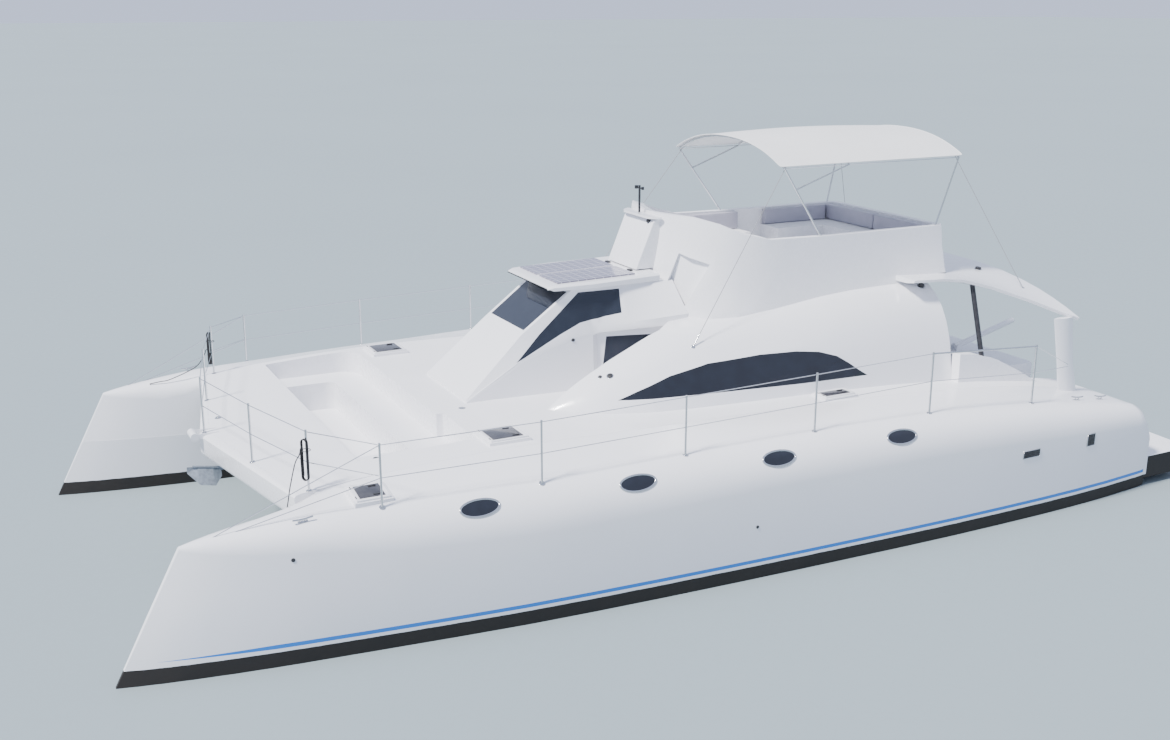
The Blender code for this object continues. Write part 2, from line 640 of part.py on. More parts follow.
fly_hood = prism("fly_hood", rounded([(-0.38, 0.41, 0.08, 3), (0.38, 0.41, 0.08, 3), (0.50, 0.57, 0.03, 2),
                                      (-0.50, 0.57, 0.03, 2)]), "z", 3.90 + GAP, 3.93, GELCOAT)
MAST = Vector((-0.04, 0.50, 3.9304))
antenna_mast = tube("antenna_mast", [MAST, MAST + Vector((0, 0, 0.38))], 0.016, BLACK)
boolean(antenna_mast, [
    tube("cross_arm", [MAST + Vector((-0.09, 0, 0.34)), MAST + Vector((0.09, 0, 0.34))], 0.009, BLACK),
    cylinder("head", MAST + Vector((-0.09, 0, 0.345)), 0.026, 0.045, (0, 0, 1), BLACK, 10),
    cylinder("vane", MAST + Vector((0.09, 0, 0.345)), 0.020, 0.040, (0, 0, 1), BLACK, 10)], "UNION")

# Flybridge seats: a moulded U aft, a short bench forward to starboard, pads behind both
FLY_SEAT_Z = 3.38
inner = 1.24 - GAP
seat_outline = [(-inner, 3.35), (-0.74, 3.35), (-0.74, 4.20), (0.74, 4.20), (0.74, 3.2), (inner, 3.2),
                (inner, 4.62), (1.12, 4.74 - GAP), (-1.12, 4.74 - GAP), (-inner, 4.62)]
fly_seat = prism("fly_seat", seat_outline, "z", FLY_FLOOR_Z + GAP, FLY_SEAT_Z, GELCOAT)
PAD_LOW = FLY_SEAT_Z + GAP
back_outline = [(-inner, 3.35), (-1.13, 3.35), (-1.13, 4.56), (-1.06, 4.63), (1.06, 4.63), (1.13, 4.56), (1.13, 3.2),
                (inner, 3.2), (inner, 4.62), (1.12, 4.74 - GAP), (-1.12, 4.74 - GAP), (-inner, 4.62)]
fly_backrest = prism("fly_backrest", back_outline, "z", PAD_LOW, 3.63, PADDING)
front_seat = [(-inner, 1.62), (-0.80, 1.42), (-0.80, 2.88), (-inner, 2.88)]
fly_front_seat = prism("fly_front_seat", front_seat, "z", FLY_FLOOR_Z + GAP, FLY_SEAT_Z - 0.03, GELCOAT)
front_back = [(-inner, 1.62), (-1.12, 1.56), (-1.12, 2.88), (-inner, 2.88)]
fly_front_backrest = prism("fly_front_backrest", front_back, "z", FLY_SEAT_Z - 0.03 + GAP, 3.63, PADDING)

# Cockpit roof: y, half width, edge z, centre z (top surface)
COCKPIT_ROOF = [(3.90, 1.86, 2.99, 2.990), (4.40, 1.90, 2.975, 2.949), (4.72, 1.97, 2.945, 2.949),
                (5.06, 2.18, 2.85, 2.949), (5.50, 2.48, 2.68, 2.945), (5.85, 2.74, 2.52, 2.930),
                (6.06, 2.88, 2.44, 2.905)]
ROOF_THICK = 0.07


def cockpit_roof_z(x, y):
    rows = [[(r[0], r[i]) for r in COCKPIT_ROOF] for i in (1, 2, 3)]
    half, edge, centre = [line_value(row, y) for row in rows]
    return centre + (edge - centre) * min(1.0, abs(x) / half) ** 2.6


cockpit_rows = []
ROOF_SHARES = [0.0, 0.25, 0.45, 0.6, 0.72, 0.82, 0.91, 1.0]
for y, half, edge, centre in COCKPIT_ROOF:
    shares = [-s for s in reversed(ROOF_SHARES[1:])] + ROOF_SHARES
    top = [(half * s, y, cockpit_roof_z(half * s, y)) for s in shares]
    under = [(x * 0.985, y, z - ROOF_THICK * (1.0 if abs(x) < half * 0.95 else 0.6)) for x, y, z in reversed(top)]
    cockpit_rows.append(top + under)
cockpit_roof = loft("cockpit_roof", cockpit_rows, GELCOAT)


def shifted(obj, shift):
    """A copy of what carries a piece, moved by the gap, for trimming that piece to its seat."""
    other = copy_of(obj, "seat")
    other.data.transform(Matrix.Translation(shift))
    return other


UP = Vector((0, 0, GAP))
DOWN = Vector((0, 0, -GAP))

# Blade pillars carry the roof's aft corners
PILLAR_ROWS = [(1.12, 6.08, 0.44), (1.75, 5.95, 0.37), (2.45, 5.83, 0.42)]
for side in (1, -1):
    sections = []
    for z, y, chord in PILLAR_ROWS:
        blade = rounded([(2.735, y, 0.2, 3), (2.80, y - chord / 2, 0.05, 2), (2.865, y, 0.2, 3),
                         (2.80, y + chord / 2, 0.05, 2)])
        sections.append([(side * a, b, z) for a, b in blade])
    boolean(cockpit_roof, [loft("pillar", sections, GELCOAT)], "UNION")
hull_starboard = mirrored(hull_port, "hull_starboard")
boolean(cockpit_roof, [roof_solid("roof_beside", -GAP), fly_solid("fly_beside", GAP),
                       shifted(hull_port, UP), shifted(hull_starboard, UP)])

# Cockpit coamings sweep down from the coachroof to the side decks
COAMING = [(4.403, 1.10), (4.403, 1.97), (4.70, 1.93), (5.10, 1.81), (5.50, 1.61), (5.85, 1.41), (6.15, 1.27), (6.3, 1.10)]
COAMING_X = (2.17, 2.33)


def coaming(name, side, lift=0.0):
    low, high = sorted((side * COAMING_X[0], side * COAMING_X[1]))
    return prism(name, [(y, z + lift) for y, z in COAMING], "x", low, high, GELCOAT)


for side in (1, -1):
    boolean(bridge_deck, [coaming("coaming", side)], "UNION")
for side, name in ((1, "roof_post_port"), (-1, "roof_post_starboard")):
    post = tube(name, [(side * 2.283, 4.88, 1.75), (side * 1.89, 4.92, 2.88)], 0.036, BLACK, 12)
    boolean(post, [coaming("post_seat", side, GAP), shifted(cockpit_roof, DOWN)])

# Aft bench across the cockpit with the boom's two cheeks
BENCH = dict(low=(-1.55, 5.92, COCKPIT_FLOOR + GAP), high=(1.55, 6.62, 1.40))
cockpit_bench = box("cockpit_bench", BENCH["low"], BENCH["high"], GELCOAT, bevel=0.03)
BOOM_PIVOT = Vector((0.50, 6.02, 1.475))
BOOM_TIP = Vector((0.50, 7.17, 1.775))
for offset in (-0.062, 0.062):
    cheek = prism("cheek", rounded([(5.95, 1.38, 0, 0), (6.09, 1.38, 0, 0), (6.07, 1.51, 0.04, 3),
                                    (5.97, 1.51, 0.04, 3)]), "x", 0.50 + offset - 0.01, 0.50 + offset + 0.01, STEEL)
    boolean(cockpit_bench, [cheek], "UNION")
boom_line = (BOOM_TIP - BOOM_PIVOT).normalized()
davit_boom = tube("davit_boom", [BOOM_PIVOT - boom_line * 0.035, BOOM_TIP], 0.045, GELCOAT, 12)
boolean(davit_boom, [cylinder("boom_pin", BOOM_PIVOT, 0.012, 0.103, (1, 0, 0), STEEL, 12)], "UNION")

# Saloon bulkhead with its sliding door on a top track
BULKHEAD = dict(front=4.30, aft=4.352, inset=0.0725)
DOOR = dict(half=0.50, foot=COCKPIT_FLOOR + 0.006, top=2.70, front=4.359, aft=4.392)
side_line = [p for p in roof_side(4.33, BULKHEAD["inset"]) if p.y > 1.62]
half_outline = [(SALOON["half"] - GAP, SALOON_FLOOR + GAP), (SALOON["half"] - GAP, 1.60)] + [tuple(p) for p in side_line]
bulkhead_outline = half_outline + [(-x, z) for x, z in reversed(half_outline)]
saloon_bulkhead = prism("saloon_bulkhead", bulkhead_outline, "y", BULKHEAD["front"], BULKHEAD["aft"], GELCOAT)
boolean(saloon_bulkhead, [box("doorway", (-0.44, 4.2, 1.03), (0.44, 4.5, 2.62), GELCOAT)])
boolean(saloon_bulkhead, [box("track", (-0.60, 4.34, DOOR["top"] + GAP), (1.42, 4.396, DOOR["top"] + 0.045), STEEL)],
        "UNION")
saloon_door = box("saloon_door", (-DOOR["half"], DOOR["front"], DOOR["foot"]), (DOOR["half"], DOOR["aft"], DOOR["top"]),
                  GLASS)

# Inside: steps up to the helm, settee, table, helm console, wheel and seat
steps_outline = [(0.6205, SALOON_FLOOR + GAP), (1.20, SALOON_FLOOR + GAP), (1.20, 1.19), (0.91, 1.19), (0.91, 1.47),
                 (0.6205, 1.47)]
saloon_steps = prism("saloon_steps", steps_outline, "x", -0.35, 0.35, TEAK)
settee_outline = [(2.07, 1.5), (2.07, 4.0), (1.45, 4.0), (1.45, 1.5)]
saloon_settee = prism("saloon_settee", settee_outline, "z", SALOON_FLOOR + GAP, 1.33, PADDING, bevel=0.03)
saloon_galley = box("saloon_galley", (-2.07, 1.5, SALOON_FLOOR + GAP), (-1.47, 3.9, 1.78), GELCOAT, bevel=0.01)

# The console's face looks along the wheel's axis
WHEEL_TILT = radians(38)
WHEEL_AXIS = Vector((0, cos(WHEEL_TILT), sin(WHEEL_TILT)))
FACE_TOP = Vector((0, -1.27, 2.46))
face_down = Vector((0, sin(WHEEL_TILT), -cos(WHEEL_TILT)))
face_foot = FACE_TOP + face_down * 0.228
CONSOLE = [(-1.55, 1.60), (-1.55, 2.40), (FACE_TOP.y, FACE_TOP.z), (face_foot.y, face_foot.z), (face_foot.y, 1.60)]
helm_console = prism("helm_console", CONSOLE, "x", -0.55, 0.55, GELCOAT, bevel=0.02)
boolean(helm_console, [shifted(bridge_deck, UP)])
wheel_face = FACE_TOP + face_down * 0.10 + Vector((0.22, 0, 0))
WHEEL_RADIUS = 0.17
wheel_centre = wheel_face + WHEEL_AXIS * 0.10
across = Vector((1, 0, 0))
upward = WHEEL_AXIS.cross(across)
rim = [wheel_centre + (across * cos(a) + upward * sin(a)) * WHEEL_RADIUS for a in
       [2 * pi * i / 24 for i in range(24)]]
steering_wheel = tube("steering_wheel", rim, 0.012, BLACK, 8, closed=True)
hub = cylinder("hub", wheel_face + WHEEL_AXIS * (0.055 + GAP), 0.028, 0.11, WHEEL_AXIS, BLACK, 12)
spokes = []
for i in range(3):
    angle = pi / 2 + 2 * pi * i / 3
    out = across * cos(angle) + upward * sin(angle)
    spokes.append(tube("spoke", [wheel_centre, wheel_centre + out * WHEEL_RADIUS], 0.009, BLACK))
boolean(steering_wheel, [hub] + spokes, "UNION")

SEAT_BASE = dict(low=(0.0, -0.62, 1.60), high=(0.44, -0.22, 2.14))
helm_seat_base = box("helm_seat_base", SEAT_BASE["low"], SEAT_BASE["high"], GELCOAT, bevel=0.015)
boolean(helm_seat_base, [shifted(bridge_deck, UP)])
seat_outline = rounded([(-0.72, 2.1404, 0.03, 2), (-0.72, 2.25, 0.04, 2), (-0.28, 2.25, 0.02, 2), (-0.20, 2.72, 0.03, 2),
                        (-0.10, 2.72, 0.03, 2), (-0.14, 2.1404, 0.03, 2)])
helm_seat = prism("helm_seat", seat_outline, "x", -0.03, 0.47, PADDING, bevel=0.02)

# Guard rails: stanchion y, x, top z on the port side
SIDE_STANCHIONS = [(-4.42, 3.27, 2.27), (-2.60, 3.40, 2.30), (-0.75, 3.42, 2.34), (1.10, 3.43, 2.38), (2.93, 3.42, 2.42),
                   (4.74, 3.40, 2.30)]
STANCHION_R = 0.0135
LINE_R = 0.005
BOW_EYE = (3.05, -6.33, 1.40)
tops = [Vector((x, y, z)) for y, x, z in SIDE_STANCHIONS]
mids = [p - Vector((0, 0, 0.37)) for p in tops]
bars = [tube("stanchion", [(p.x, p.y, 1.3), (p.x, p.y, p.z + 0.02)], STANCHION_R, STEEL) for p in tops]
brace_foot = Vector((2.872, 5.93, 1.74))
lines = [tube("top_line", [BOW_EYE] + tops[:5], LINE_R, STEEL, 6),
         tube("mid_line", [BOW_EYE] + mids, LINE_R, STEEL, 6),
         tube("top_rail", [tops[4], tops[5]], 0.012, STEEL),
         tube("low_brace", [mids[5], brace_foot], LINE_R, STEEL, 6),
         tube("high_brace", [tops[5], brace_foot + Vector((0, 0, 0.03))], LINE_R, STEEL, 6)]
rail_port = bars[0]
rail_port.name = "rail_port"
boolean(rail_port, bars[1:] + lines, "UNION")
boolean(rail_port, [shifted(hull_port, UP), shifted(cockpit_roof, Vector((GAP, 0, 0)))])
rail_starboard = mirrored(rail_port, "rail_starboard")

BOW_STANCHIONS = [(2.60, -5.03), (1.36, -5.37), (0.0, -5.66), (-1.36, -5.37), (-2.60, -5.03)]
RAIL_HEIGHT = 0.69
bow_tops = [Vector((x, y, deck_z(-5.1) + RAIL_HEIGHT)) for x, y in BOW_STANCHIONS]
bars = [tube("stanchion", [(p.x, p.y, 1.5), (p.x, p.y, p.z + 0.02)], STANCHION_R, STEEL) for p in bow_tops]


def rail_ends(points, drop):
    first, last = [Vector((side * 3.25, -4.435, 2.27 - drop)) for side in (1, -1)]
    return [first] + [p - Vector((0, 0, drop)) for p in points] + [last]


lines = [tube("bow_line", rail_ends(bow_tops, drop), LINE_R, STEEL, 6) for drop in (0.0, 0.35)]
rail_bow = bars[0]
rail_bow.name = "rail_bow"
boolean(rail_bow, bars[1:] + lines, "UNION")
boolean(rail_bow, [shifted(bridge_deck, UP)])

# Spare rope: a hank on each outer bow stanchion, its end led forward to the hull's edge
HANK = dict(width=0.09, thick=0.05, low=1.76, high=2.24)
ROPE_R = 0.007
# side, height where the line leaves the hank, the points it passes, its end on the deck
ROPES = [
    ("port", 1, 2.16, [(2.70, -5.19, 2.00), (2.71, -5.26, 1.75)], (2.72, -5.30)),
    ("starboard", -1, 1.98, [(-2.73, -5.26, 1.72), (-2.82, -5.60, 1.56)], (-2.90, -5.88)),
]


hull_skin = BVHTree.FromObject(hull_port, bpy.context.evaluated_depsgraph_get())
for name, side, leave_z, way, (end_x, end_y) in ROPES:
    out = Vector((side * 0.6, -0.8, 0))
    wide = Vector((out.y, -out.x, 0))
    middle_place = Vector((side * 2.60, -5.03, 0)) + out * (STANCHION_R + 0.0005 + HANK["thick"] / 2)
    half = HANK["width"] / 2
    turned = Matrix((wide, out, (0, 0, 1))).transposed().to_4x4()
    hank = prism("rope_hank_" + name, rounded([
        (-half, HANK["low"], 0.05, 4), (half, HANK["low"], 0.05, 4),
        (half, HANK["high"], 0.05, 4), (-half, HANK["high"], 0.05, 4)]), "y", -HANK["thick"] / 2, HANK["thick"] / 2, ROPE)
    hank.data.transform(Matrix.Translation(middle_place) @ turned)
    start = middle_place + out * (HANK["thick"] / 2 + GAP) + Vector((0, 0, leave_z))
    on_deck, upward = hull_skin.ray_cast(Vector((abs(end_x), end_y, 3.0)), Vector((0, 0, -1)))[:2]
    on_deck.x, upward.x = side * on_deck.x, side * upward.x
    route = [start + out * 0.012] + [Vector(p) for p in way] + [on_deck + upward * 0.014]
    tube("rope_line_" + name, [start] + smooth_path(route, 6) + [on_deck + upward * 0.0006], ROPE_R, ROPE, 8)

# Bimini: three bows on the coaming, a cambered cover above them
BIMINI = dict(half=1.41, front=1.86, aft=5.02, edge_z=4.62, rise=0.31)
BOW_SHARES = [1.0, 0.95, 0.85, 0.7, 0.5, 0.25, 0.0]
FRAME_R = 0.0135


def canopy_z(x, y):
    along_share = (y - BIMINI["front"]) / (BIMINI["aft"] - BIMINI["front"])
    hump = 0.05 * sin(pi * min(1, max(0, along_share)))
    return BIMINI["edge_z"] + (BIMINI["rise"] + hump) * (1 - abs(x / BIMINI["half"]) ** 2.4)


def bow_points(y):
    half = [(BIMINI["half"] * 0.985 * s, y) for s in BOW_SHARES]
    row = [(x, yy, canopy_z(x, yy) - FRAME_R * 1.2 + 0.0002) for x, yy in half]
    return row + [(-x, yy, z) for x, yy, z in reversed(row[:-1])]


LEG_X = 1.295
front_bow = bow_points(1.93)
aft_bow = bow_points(4.95)
middle_bow = bow_points(3.00)
bimini_frame = tube("bimini_frame", [(LEG_X, 2.70, 3.55)] + front_bow + [(-LEG_X, 2.70, 3.55)], FRAME_R, STEEL)
aft = tube("aft_bow", [(LEG_X, 4.66, 3.55)] + aft_bow + [(-LEG_X, 4.66, 3.55)], FRAME_R, STEEL)
share = 0.72
knee_port = Vector((LEG_X, 2.70, 3.55)).lerp(Vector(front_bow[0]), share)
knee_starboard = Vector((-knee_port.x, knee_port.y, knee_port.z))
middle = tube("middle_bow", [knee_port] + middle_bow + [knee_starboard], FRAME_R * 0.9, STEEL)
boolean(bimini_frame, [middle], "UNION")
ties = []
for side in (1, -1):
    ties.append(tube("tie", [(side * front_bow[0][0], 1.93, front_bow[0][2]),
                             (side * front_bow[0][0], 4.95, aft_bow[0][2])], 0.006, STEEL, 6))
boolean(bimini_frame, [aft] + ties, "UNION")
boolean(bimini_frame, [shifted(flybridge, UP)])

cover_rows = []
COVER_SHARES = [-1.0, -0.95, -0.85, -0.7, -0.5, -0.25, 0, 0.25, 0.5, 0.7, 0.85, 0.95, 1.0]
COVER_THICK = 0.016
for y in (1.86, 1.93, 2.5, 3.0, 3.5, 4.2, 4.95, 5.02):
    under = [(BIMINI["half"] * 0.985 * s, y, canopy_z(BIMINI["half"] * 0.985 * s, y)) for s in COVER_SHARES]
    cover_rows.append(under + [(x, yy, z + COVER_THICK) for x, yy, z in reversed(under)])
bimini_canvas = loft("bimini_canvas", cover_rows, CANVAS)

# Deck hatches: a raised rim on the deck and a hinged lid
# name, carrier, centre x, centre y, deck z, half x, half y, slope across in degrees
HATCHES = [
    ("fore_port", "deck", 2.22, -2.58, deck_z(-2.58), 0.24, 0.24, 0),
    ("fore_starboard", "deck", -2.22, -2.58, deck_z(-2.58), 0.24, 0.24, 0),
    ("side_port", "deck", 2.40, 2.18, deck_z(2.18), 0.13, 0.24, 0),
    ("side_starboard", "deck", -2.40, 2.18, deck_z(2.18), 0.13, 0.24, 0),
    ("bow_port", "hull", 3.01, -4.48, 1.625, 0.18, 0.19, 9),
]
RIM = 0.025
RIM_UP = 0.035
LID_THICK = 0.022
for name, carrier, x, y, z, half_x, half_y, slope in HATCHES:
    place = Matrix.Translation((x, y, z + RIM_UP)) @ Matrix.Rotation(radians(slope), 4, "Y")
    rim_box = box("rim", (-half_x - RIM, -half_y - RIM, -0.12), (half_x + RIM, half_y + RIM, 0), GELCOAT)
    hole = box("hatch_hole", (0.03 - half_x, 0.03 - half_y, -0.10), (half_x - 0.03, half_y - 0.03, 0.1), GELCOAT)
    lid = box("hatch_lid_" + name, (-half_x, -half_y, GAP), (half_x, half_y, LID_THICK), GLASS)
    for piece in (rim_box, hole, lid):
        piece.data.transform(place)
    target = bridge_deck if carrier == "deck" else hull_port
    boolean(target, [rim_box], "UNION")
    boolean(target, [hole])

# Bow roller at the lip's centre, with the anchor stowed under it
bow_roller = cylinder("bow_roller", (0, -5.80, 1.60), 0.05, 0.24, (1, 0, 0), GELCOAT, 16)
arms = []
for x in (-0.09, 0.09):
    arms.append(box("roller_arm", (x - 0.008, -5.80, 1.57), (x + 0.008, -5.50, 1.63), STEEL))
boolean(bow_roller, arms, "UNION")
boolean(bow_roller, [shifted(bridge_deck, Vector((0, -GAP, GAP)))])

ANCHOR_SHANK = [(0.14, -5.86, 1.235), (0.14, -5.36, 1.150)]
anchor = tube("anchor", ANCHOR_SHANK, 0.018, STEEL)
fluke_sections = []
for y, half, low in ((-5.93, 0.01, 1.16), (-5.80, 0.13, 1.03), (-5.62, 0.15, 1.00), (-5.52, 0.04, 1.08)):
    top = 1.235 - (y + 5.86) * 0.17 if y > -5.86 else 1.235
    fluke_sections.append([(0.14, y, top + 0.004), (0.14 + half, y, low), (0.14, y, low + 0.05), (0.14 - half, y, low)])
hanger = box("hanger", (0.12, -5.52, 1.15), (0.16, -5.44, 1.30), STEEL)
boolean(anchor, [loft("fluke", fluke_sections, STEEL), hanger], "UNION")
boolean(anchor, [shifted(bridge_deck, DOWN)])

# Shafts with struts, propellers and rudders under both hulls
SHAFT_ANGLE = radians(8)
SHAFT_AXIS = Vector((0, cos(SHAFT_ANGLE), -sin(SHAFT_ANGLE)))
PROP_CENTRE = Vector((HULL_X, 6.06, -0.86))
PROP_RADIUS = 0.24
HUB_HALF = 0.065
drive_shaft_port = tube("drive_shaft_port", [PROP_CENTRE - SHAFT_AXIS * 1.9, PROP_CENTRE - SHAFT_AXIS * (HUB_HALF + GAP)],
                        0.022, STEEL, 12)
strut = loft("strut", [[(HULL_X + a, y + b, z) for a, b in ((-0.014, 0), (0, -0.07), (0.014, 0), (0, 0.07))]
                       for y, z in ((5.72, -0.35), (5.80, -0.83))], BRONZE)
barrel = cylinder("strut_barrel", PROP_CENTRE - SHAFT_AXIS * 0.24, 0.036, 0.16, SHAFT_AXIS, BRONZE, 12)
boolean(drive_shaft_port, [strut, barrel], "UNION")
boolean(drive_shaft_port, [shifted(hull_port, DOWN)])
mirrored(drive_shaft_port, "drive_shaft_starboard")

propeller_port = cylinder("propeller_port", PROP_CENTRE, 0.05, 2 * HUB_HALF, SHAFT_AXIS, BRONZE, 16, radius2=0.035)
side_axis = Vector((1, 0, 0))
blade_list = []
for i in range(4):
    angle = 2 * pi * i / 4
    out = side_axis * cos(angle) + SHAFT_AXIS.cross(side_axis) * sin(angle)
    round_way = SHAFT_AXIS.cross(out)
    blade_rows = []
    for reach, width, pitch in ((0.03, 0.035, 55), (0.10, 0.075, 42), (0.17, 0.085, 32), (0.225, 0.055, 26), (0.24, 0.02, 25)):
        lean = radians(pitch)
        chord = round_way * cos(lean) + SHAFT_AXIS * sin(lean)
        thick = chord.cross(out) * 0.006
        middle_point = PROP_CENTRE + out * reach
        blade_rows.append([middle_point + chord * width, middle_point + thick, middle_point - chord * width,
                           middle_point - thick])
    blade_list.append(loft("blade", blade_rows, BRONZE))
boolean(propeller_port, blade_list, "UNION")
mirrored(propeller_port, "propeller_starboard")

RUDDER = dict(stock_y=6.52, front=6.36, aft=6.80, top=-0.58, foot=-1.02)
tree = BVHTree.FromObject(hull_port, bpy.context.evaluated_depsgraph_get())
seat_heights = []
for dx in (-0.014, 0, 0.014):
    for dy in (-0.02, 0, 0.02):
        hit = tree.ray_cast(Vector((HULL_X + dx, RUDDER["stock_y"] + dy, -2.0)), Vector((0, 0, 1)))
        seat_heights.append(hit[0].z)
stock_top = min(seat_heights) - 0.0003
rudder_sections = []
for z, share in ((RUDDER["foot"], 0.82), (RUDDER["top"], 1.0)):
    front = RUDDER["stock_y"] - (RUDDER["stock_y"] - RUDDER["front"]) * share
    aft = RUDDER["stock_y"] + (RUDDER["aft"] - RUDDER["stock_y"]) * share
    rudder_sections.append([(HULL_X, front, z), (HULL_X + 0.022, RUDDER["stock_y"], z), (HULL_X, aft, z),
                            (HULL_X - 0.022, RUDDER["stock_y"], z)])
rudder_port = loft("rudder_port", rudder_sections, BRONZE)
stock = cylinder("stock", (HULL_X, RUDDER["stock_y"], (RUDDER["top"] - 0.2 + stock_top) / 2), 0.02,
                 stock_top - RUDDER["top"] + 0.2, (0, 0, 1), BRONZE, 12)
boolean(rudder_port, [stock], "UNION")
mirrored(rudder_port, "rudder_starboard")

# Each moving piece has its origin on its own axis
TURNING = [
    ("propeller_port", PROP_CENTRE),
    ("propeller_starboard", (-HULL_X, PROP_CENTRE.y, PROP_CENTRE.z)),
    ("rudder_port", (HULL_X, RUDDER["stock_y"], RUDDER["top"])),
    ("rudder_starboard", (-HULL_X, RUDDER["stock_y"], RUDDER["top"])),
    ("steering_wheel", wheel_centre),
    ("saloon_door", (0, DOOR["front"], DOOR["top"])),
    ("davit_boom", BOOM_PIVOT),
]
for name, carrier, x, y, z, half_x, half_y, slope in HATCHES:
    TURNING.append(("hatch_lid_" + name, (x, y - half_y, z + RIM_UP)))
for name, origin in TURNING:
    obj = PARTS.objects[name]
    obj.data.transform(Matrix.Translation(-Vector(origin)))
    obj.location = origin
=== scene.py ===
# Power catamaran, afloat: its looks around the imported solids.
# Metres, bow toward -Y, port toward +X, the floor at the waterline.
import json
import math

import bmesh
import bpy
from mathutils import Matrix, Vector
from mathutils.bvhtree import BVHTree


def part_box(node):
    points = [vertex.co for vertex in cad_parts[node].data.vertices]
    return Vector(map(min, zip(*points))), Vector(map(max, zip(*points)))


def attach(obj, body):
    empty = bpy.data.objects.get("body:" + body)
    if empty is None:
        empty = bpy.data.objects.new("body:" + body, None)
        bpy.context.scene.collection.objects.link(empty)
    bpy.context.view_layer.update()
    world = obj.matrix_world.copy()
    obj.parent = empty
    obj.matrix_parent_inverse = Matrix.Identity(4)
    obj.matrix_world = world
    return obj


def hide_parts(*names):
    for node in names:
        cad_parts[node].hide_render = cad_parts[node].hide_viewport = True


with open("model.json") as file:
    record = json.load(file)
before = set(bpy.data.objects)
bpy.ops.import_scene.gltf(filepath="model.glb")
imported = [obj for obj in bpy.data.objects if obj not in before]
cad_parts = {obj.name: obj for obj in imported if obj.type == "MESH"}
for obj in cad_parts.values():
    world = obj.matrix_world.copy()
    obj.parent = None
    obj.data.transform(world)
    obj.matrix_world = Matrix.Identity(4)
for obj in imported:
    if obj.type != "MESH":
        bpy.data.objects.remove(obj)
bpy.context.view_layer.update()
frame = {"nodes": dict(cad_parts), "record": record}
nodes = frame["nodes"]
body_of = {node: body for body, held in frame["record"]["behaviour"]["bodies"].items()
           for node in held}

# ---- Camera: ahead of the port beam and above, as in the photograph.
CAMERA_PLACE = Vector((15.854, -8.26, 6.776))
CAMERA_AZIMUTH = math.radians(63.54)
CAMERA_DOWN = math.radians(15.84)
SENSOR_WIDTH = 36.0
LENS_LENGTH = 40.0
SEEN_FAR = 900.0
look_back = Vector((math.sin(CAMERA_AZIMUTH) * math.cos(CAMERA_DOWN),
                    -math.cos(CAMERA_AZIMUTH) * math.cos(CAMERA_DOWN), math.sin(CAMERA_DOWN)))
bpy.ops.object.camera_add(location=CAMERA_PLACE)
camera = bpy.context.object
camera.rotation_mode = "QUATERNION"
camera.rotation_quaternion = look_back.to_track_quat("Z", "Y")
camera.data.sensor_fit = "HORIZONTAL"
camera.data.sensor_width = SENSOR_WIDTH
camera.data.lens = LENS_LENGTH
camera.data.clip_end = SEEN_FAR
bpy.context.scene.camera = camera


# ---- Spare ropes: black braided line, wound into a hank on each outer bow stanchion,
# tied round the stanchion, with its working end led down to the edge of the deck.
def pick(*pieces):
    bpy.ops.object.select_all(action="DESELECT")
    for piece in pieces:
        piece.select_set(True)
    bpy.context.view_layer.objects.active = pieces[0]


def put(tree, kind, sockets=(), **settings):
    """A shader node with its sockets set or linked."""
    node = tree.nodes.new("ShaderNode" + kind)
    for key, value in settings.items():
        setattr(node, key, value)
    for key, value in dict(sockets).items():
        if isinstance(value, bpy.types.NodeSocket):
            tree.links.new(value, node.inputs[key])
        else:
            node.inputs[key].default_value = value
    return node


def maths(tree, operation, *values):
    """The outcome of one sum."""
    return put(tree, "Math", dict(enumerate(values)), operation=operation).outputs[0]


def blend(tree, share, first, second):
    """One colour going over into another."""
    return put(tree, "Mix", {0: share, 6: first, 7: second}, data_type="RGBA").outputs[2]


def own_place(tree):
    """Places in metres, which are the frame's: every piece has its origin at zero."""
    return put(tree, "TexCoord").outputs["Object"]


def speckle_group():
    """Uneven colour, roughness and fine bumps of a surface that weather has been at."""
    group = bpy.data.node_groups.new("weathered_surface", "ShaderNodeTree")
    rows = (("Colour", "Color", (0.8, 0.8, 0.8, 1)), ("Stain", "Color", (0.5, 0.5, 0.5, 1)),
            ("Stain amount", "Float", 0.2), ("Stain scale", "Float", 1.5),
            ("Rough low", "Float", 0.2), ("Rough high", "Float", 0.4),
            ("Grain scale", "Float", 200.0), ("Grain depth", "Float", 0.1))
    for name, kind, value in rows:
        group.interface.new_socket(name, in_out="INPUT",
                                   socket_type="NodeSocket" + kind).default_value = value
    for name, kind in (("Colour", "Color"), ("Roughness", "Float"), ("Normal", "Vector")):
        group.interface.new_socket(name, in_out="OUTPUT", socket_type="NodeSocket" + kind)
    given = group.nodes.new("NodeGroupInput").outputs
    out = group.nodes.new("NodeGroupOutput").inputs
    place = own_place(group)
    cloud = put(group, "TexNoise", {"Vector": place, "Scale": given["Stain scale"],
                                    "Detail": 6.0, "Roughness": 0.6})
    soft = put(group, "MapRange", {"Value": cloud.outputs[0], "From Min": 0.42, "From Max": 0.75,
                                   "To Min": 0.0, "To Max": 1.0})
    amount = maths(group, "MULTIPLY", soft.outputs[0], given["Stain amount"])
    smear = put(group, "TexNoise", {"Vector": place, "Scale": 7.0, "Detail": 4.0})
    rough = put(group, "MapRange", {"Value": smear.outputs[0], "From Min": 0.3, "From Max": 0.7,
                                    "To Min": given["Rough low"], "To Max": given["Rough high"]})
    grain = put(group, "TexNoise", {"Vector": place, "Scale": given["Grain scale"], "Detail": 3.0})
    bump = put(group, "Bump", {"Strength": given["Grain depth"], "Distance": 0.002,
                               "Height": grain.outputs[0]})
    group.links.new(blend(group, amount, given["Colour"], given["Stain"]), out["Colour"])
    group.links.new(rough.outputs[0], out["Roughness"])
    group.links.new(bump.outputs[0], out["Normal"])
    return group


WEATHER = speckle_group()


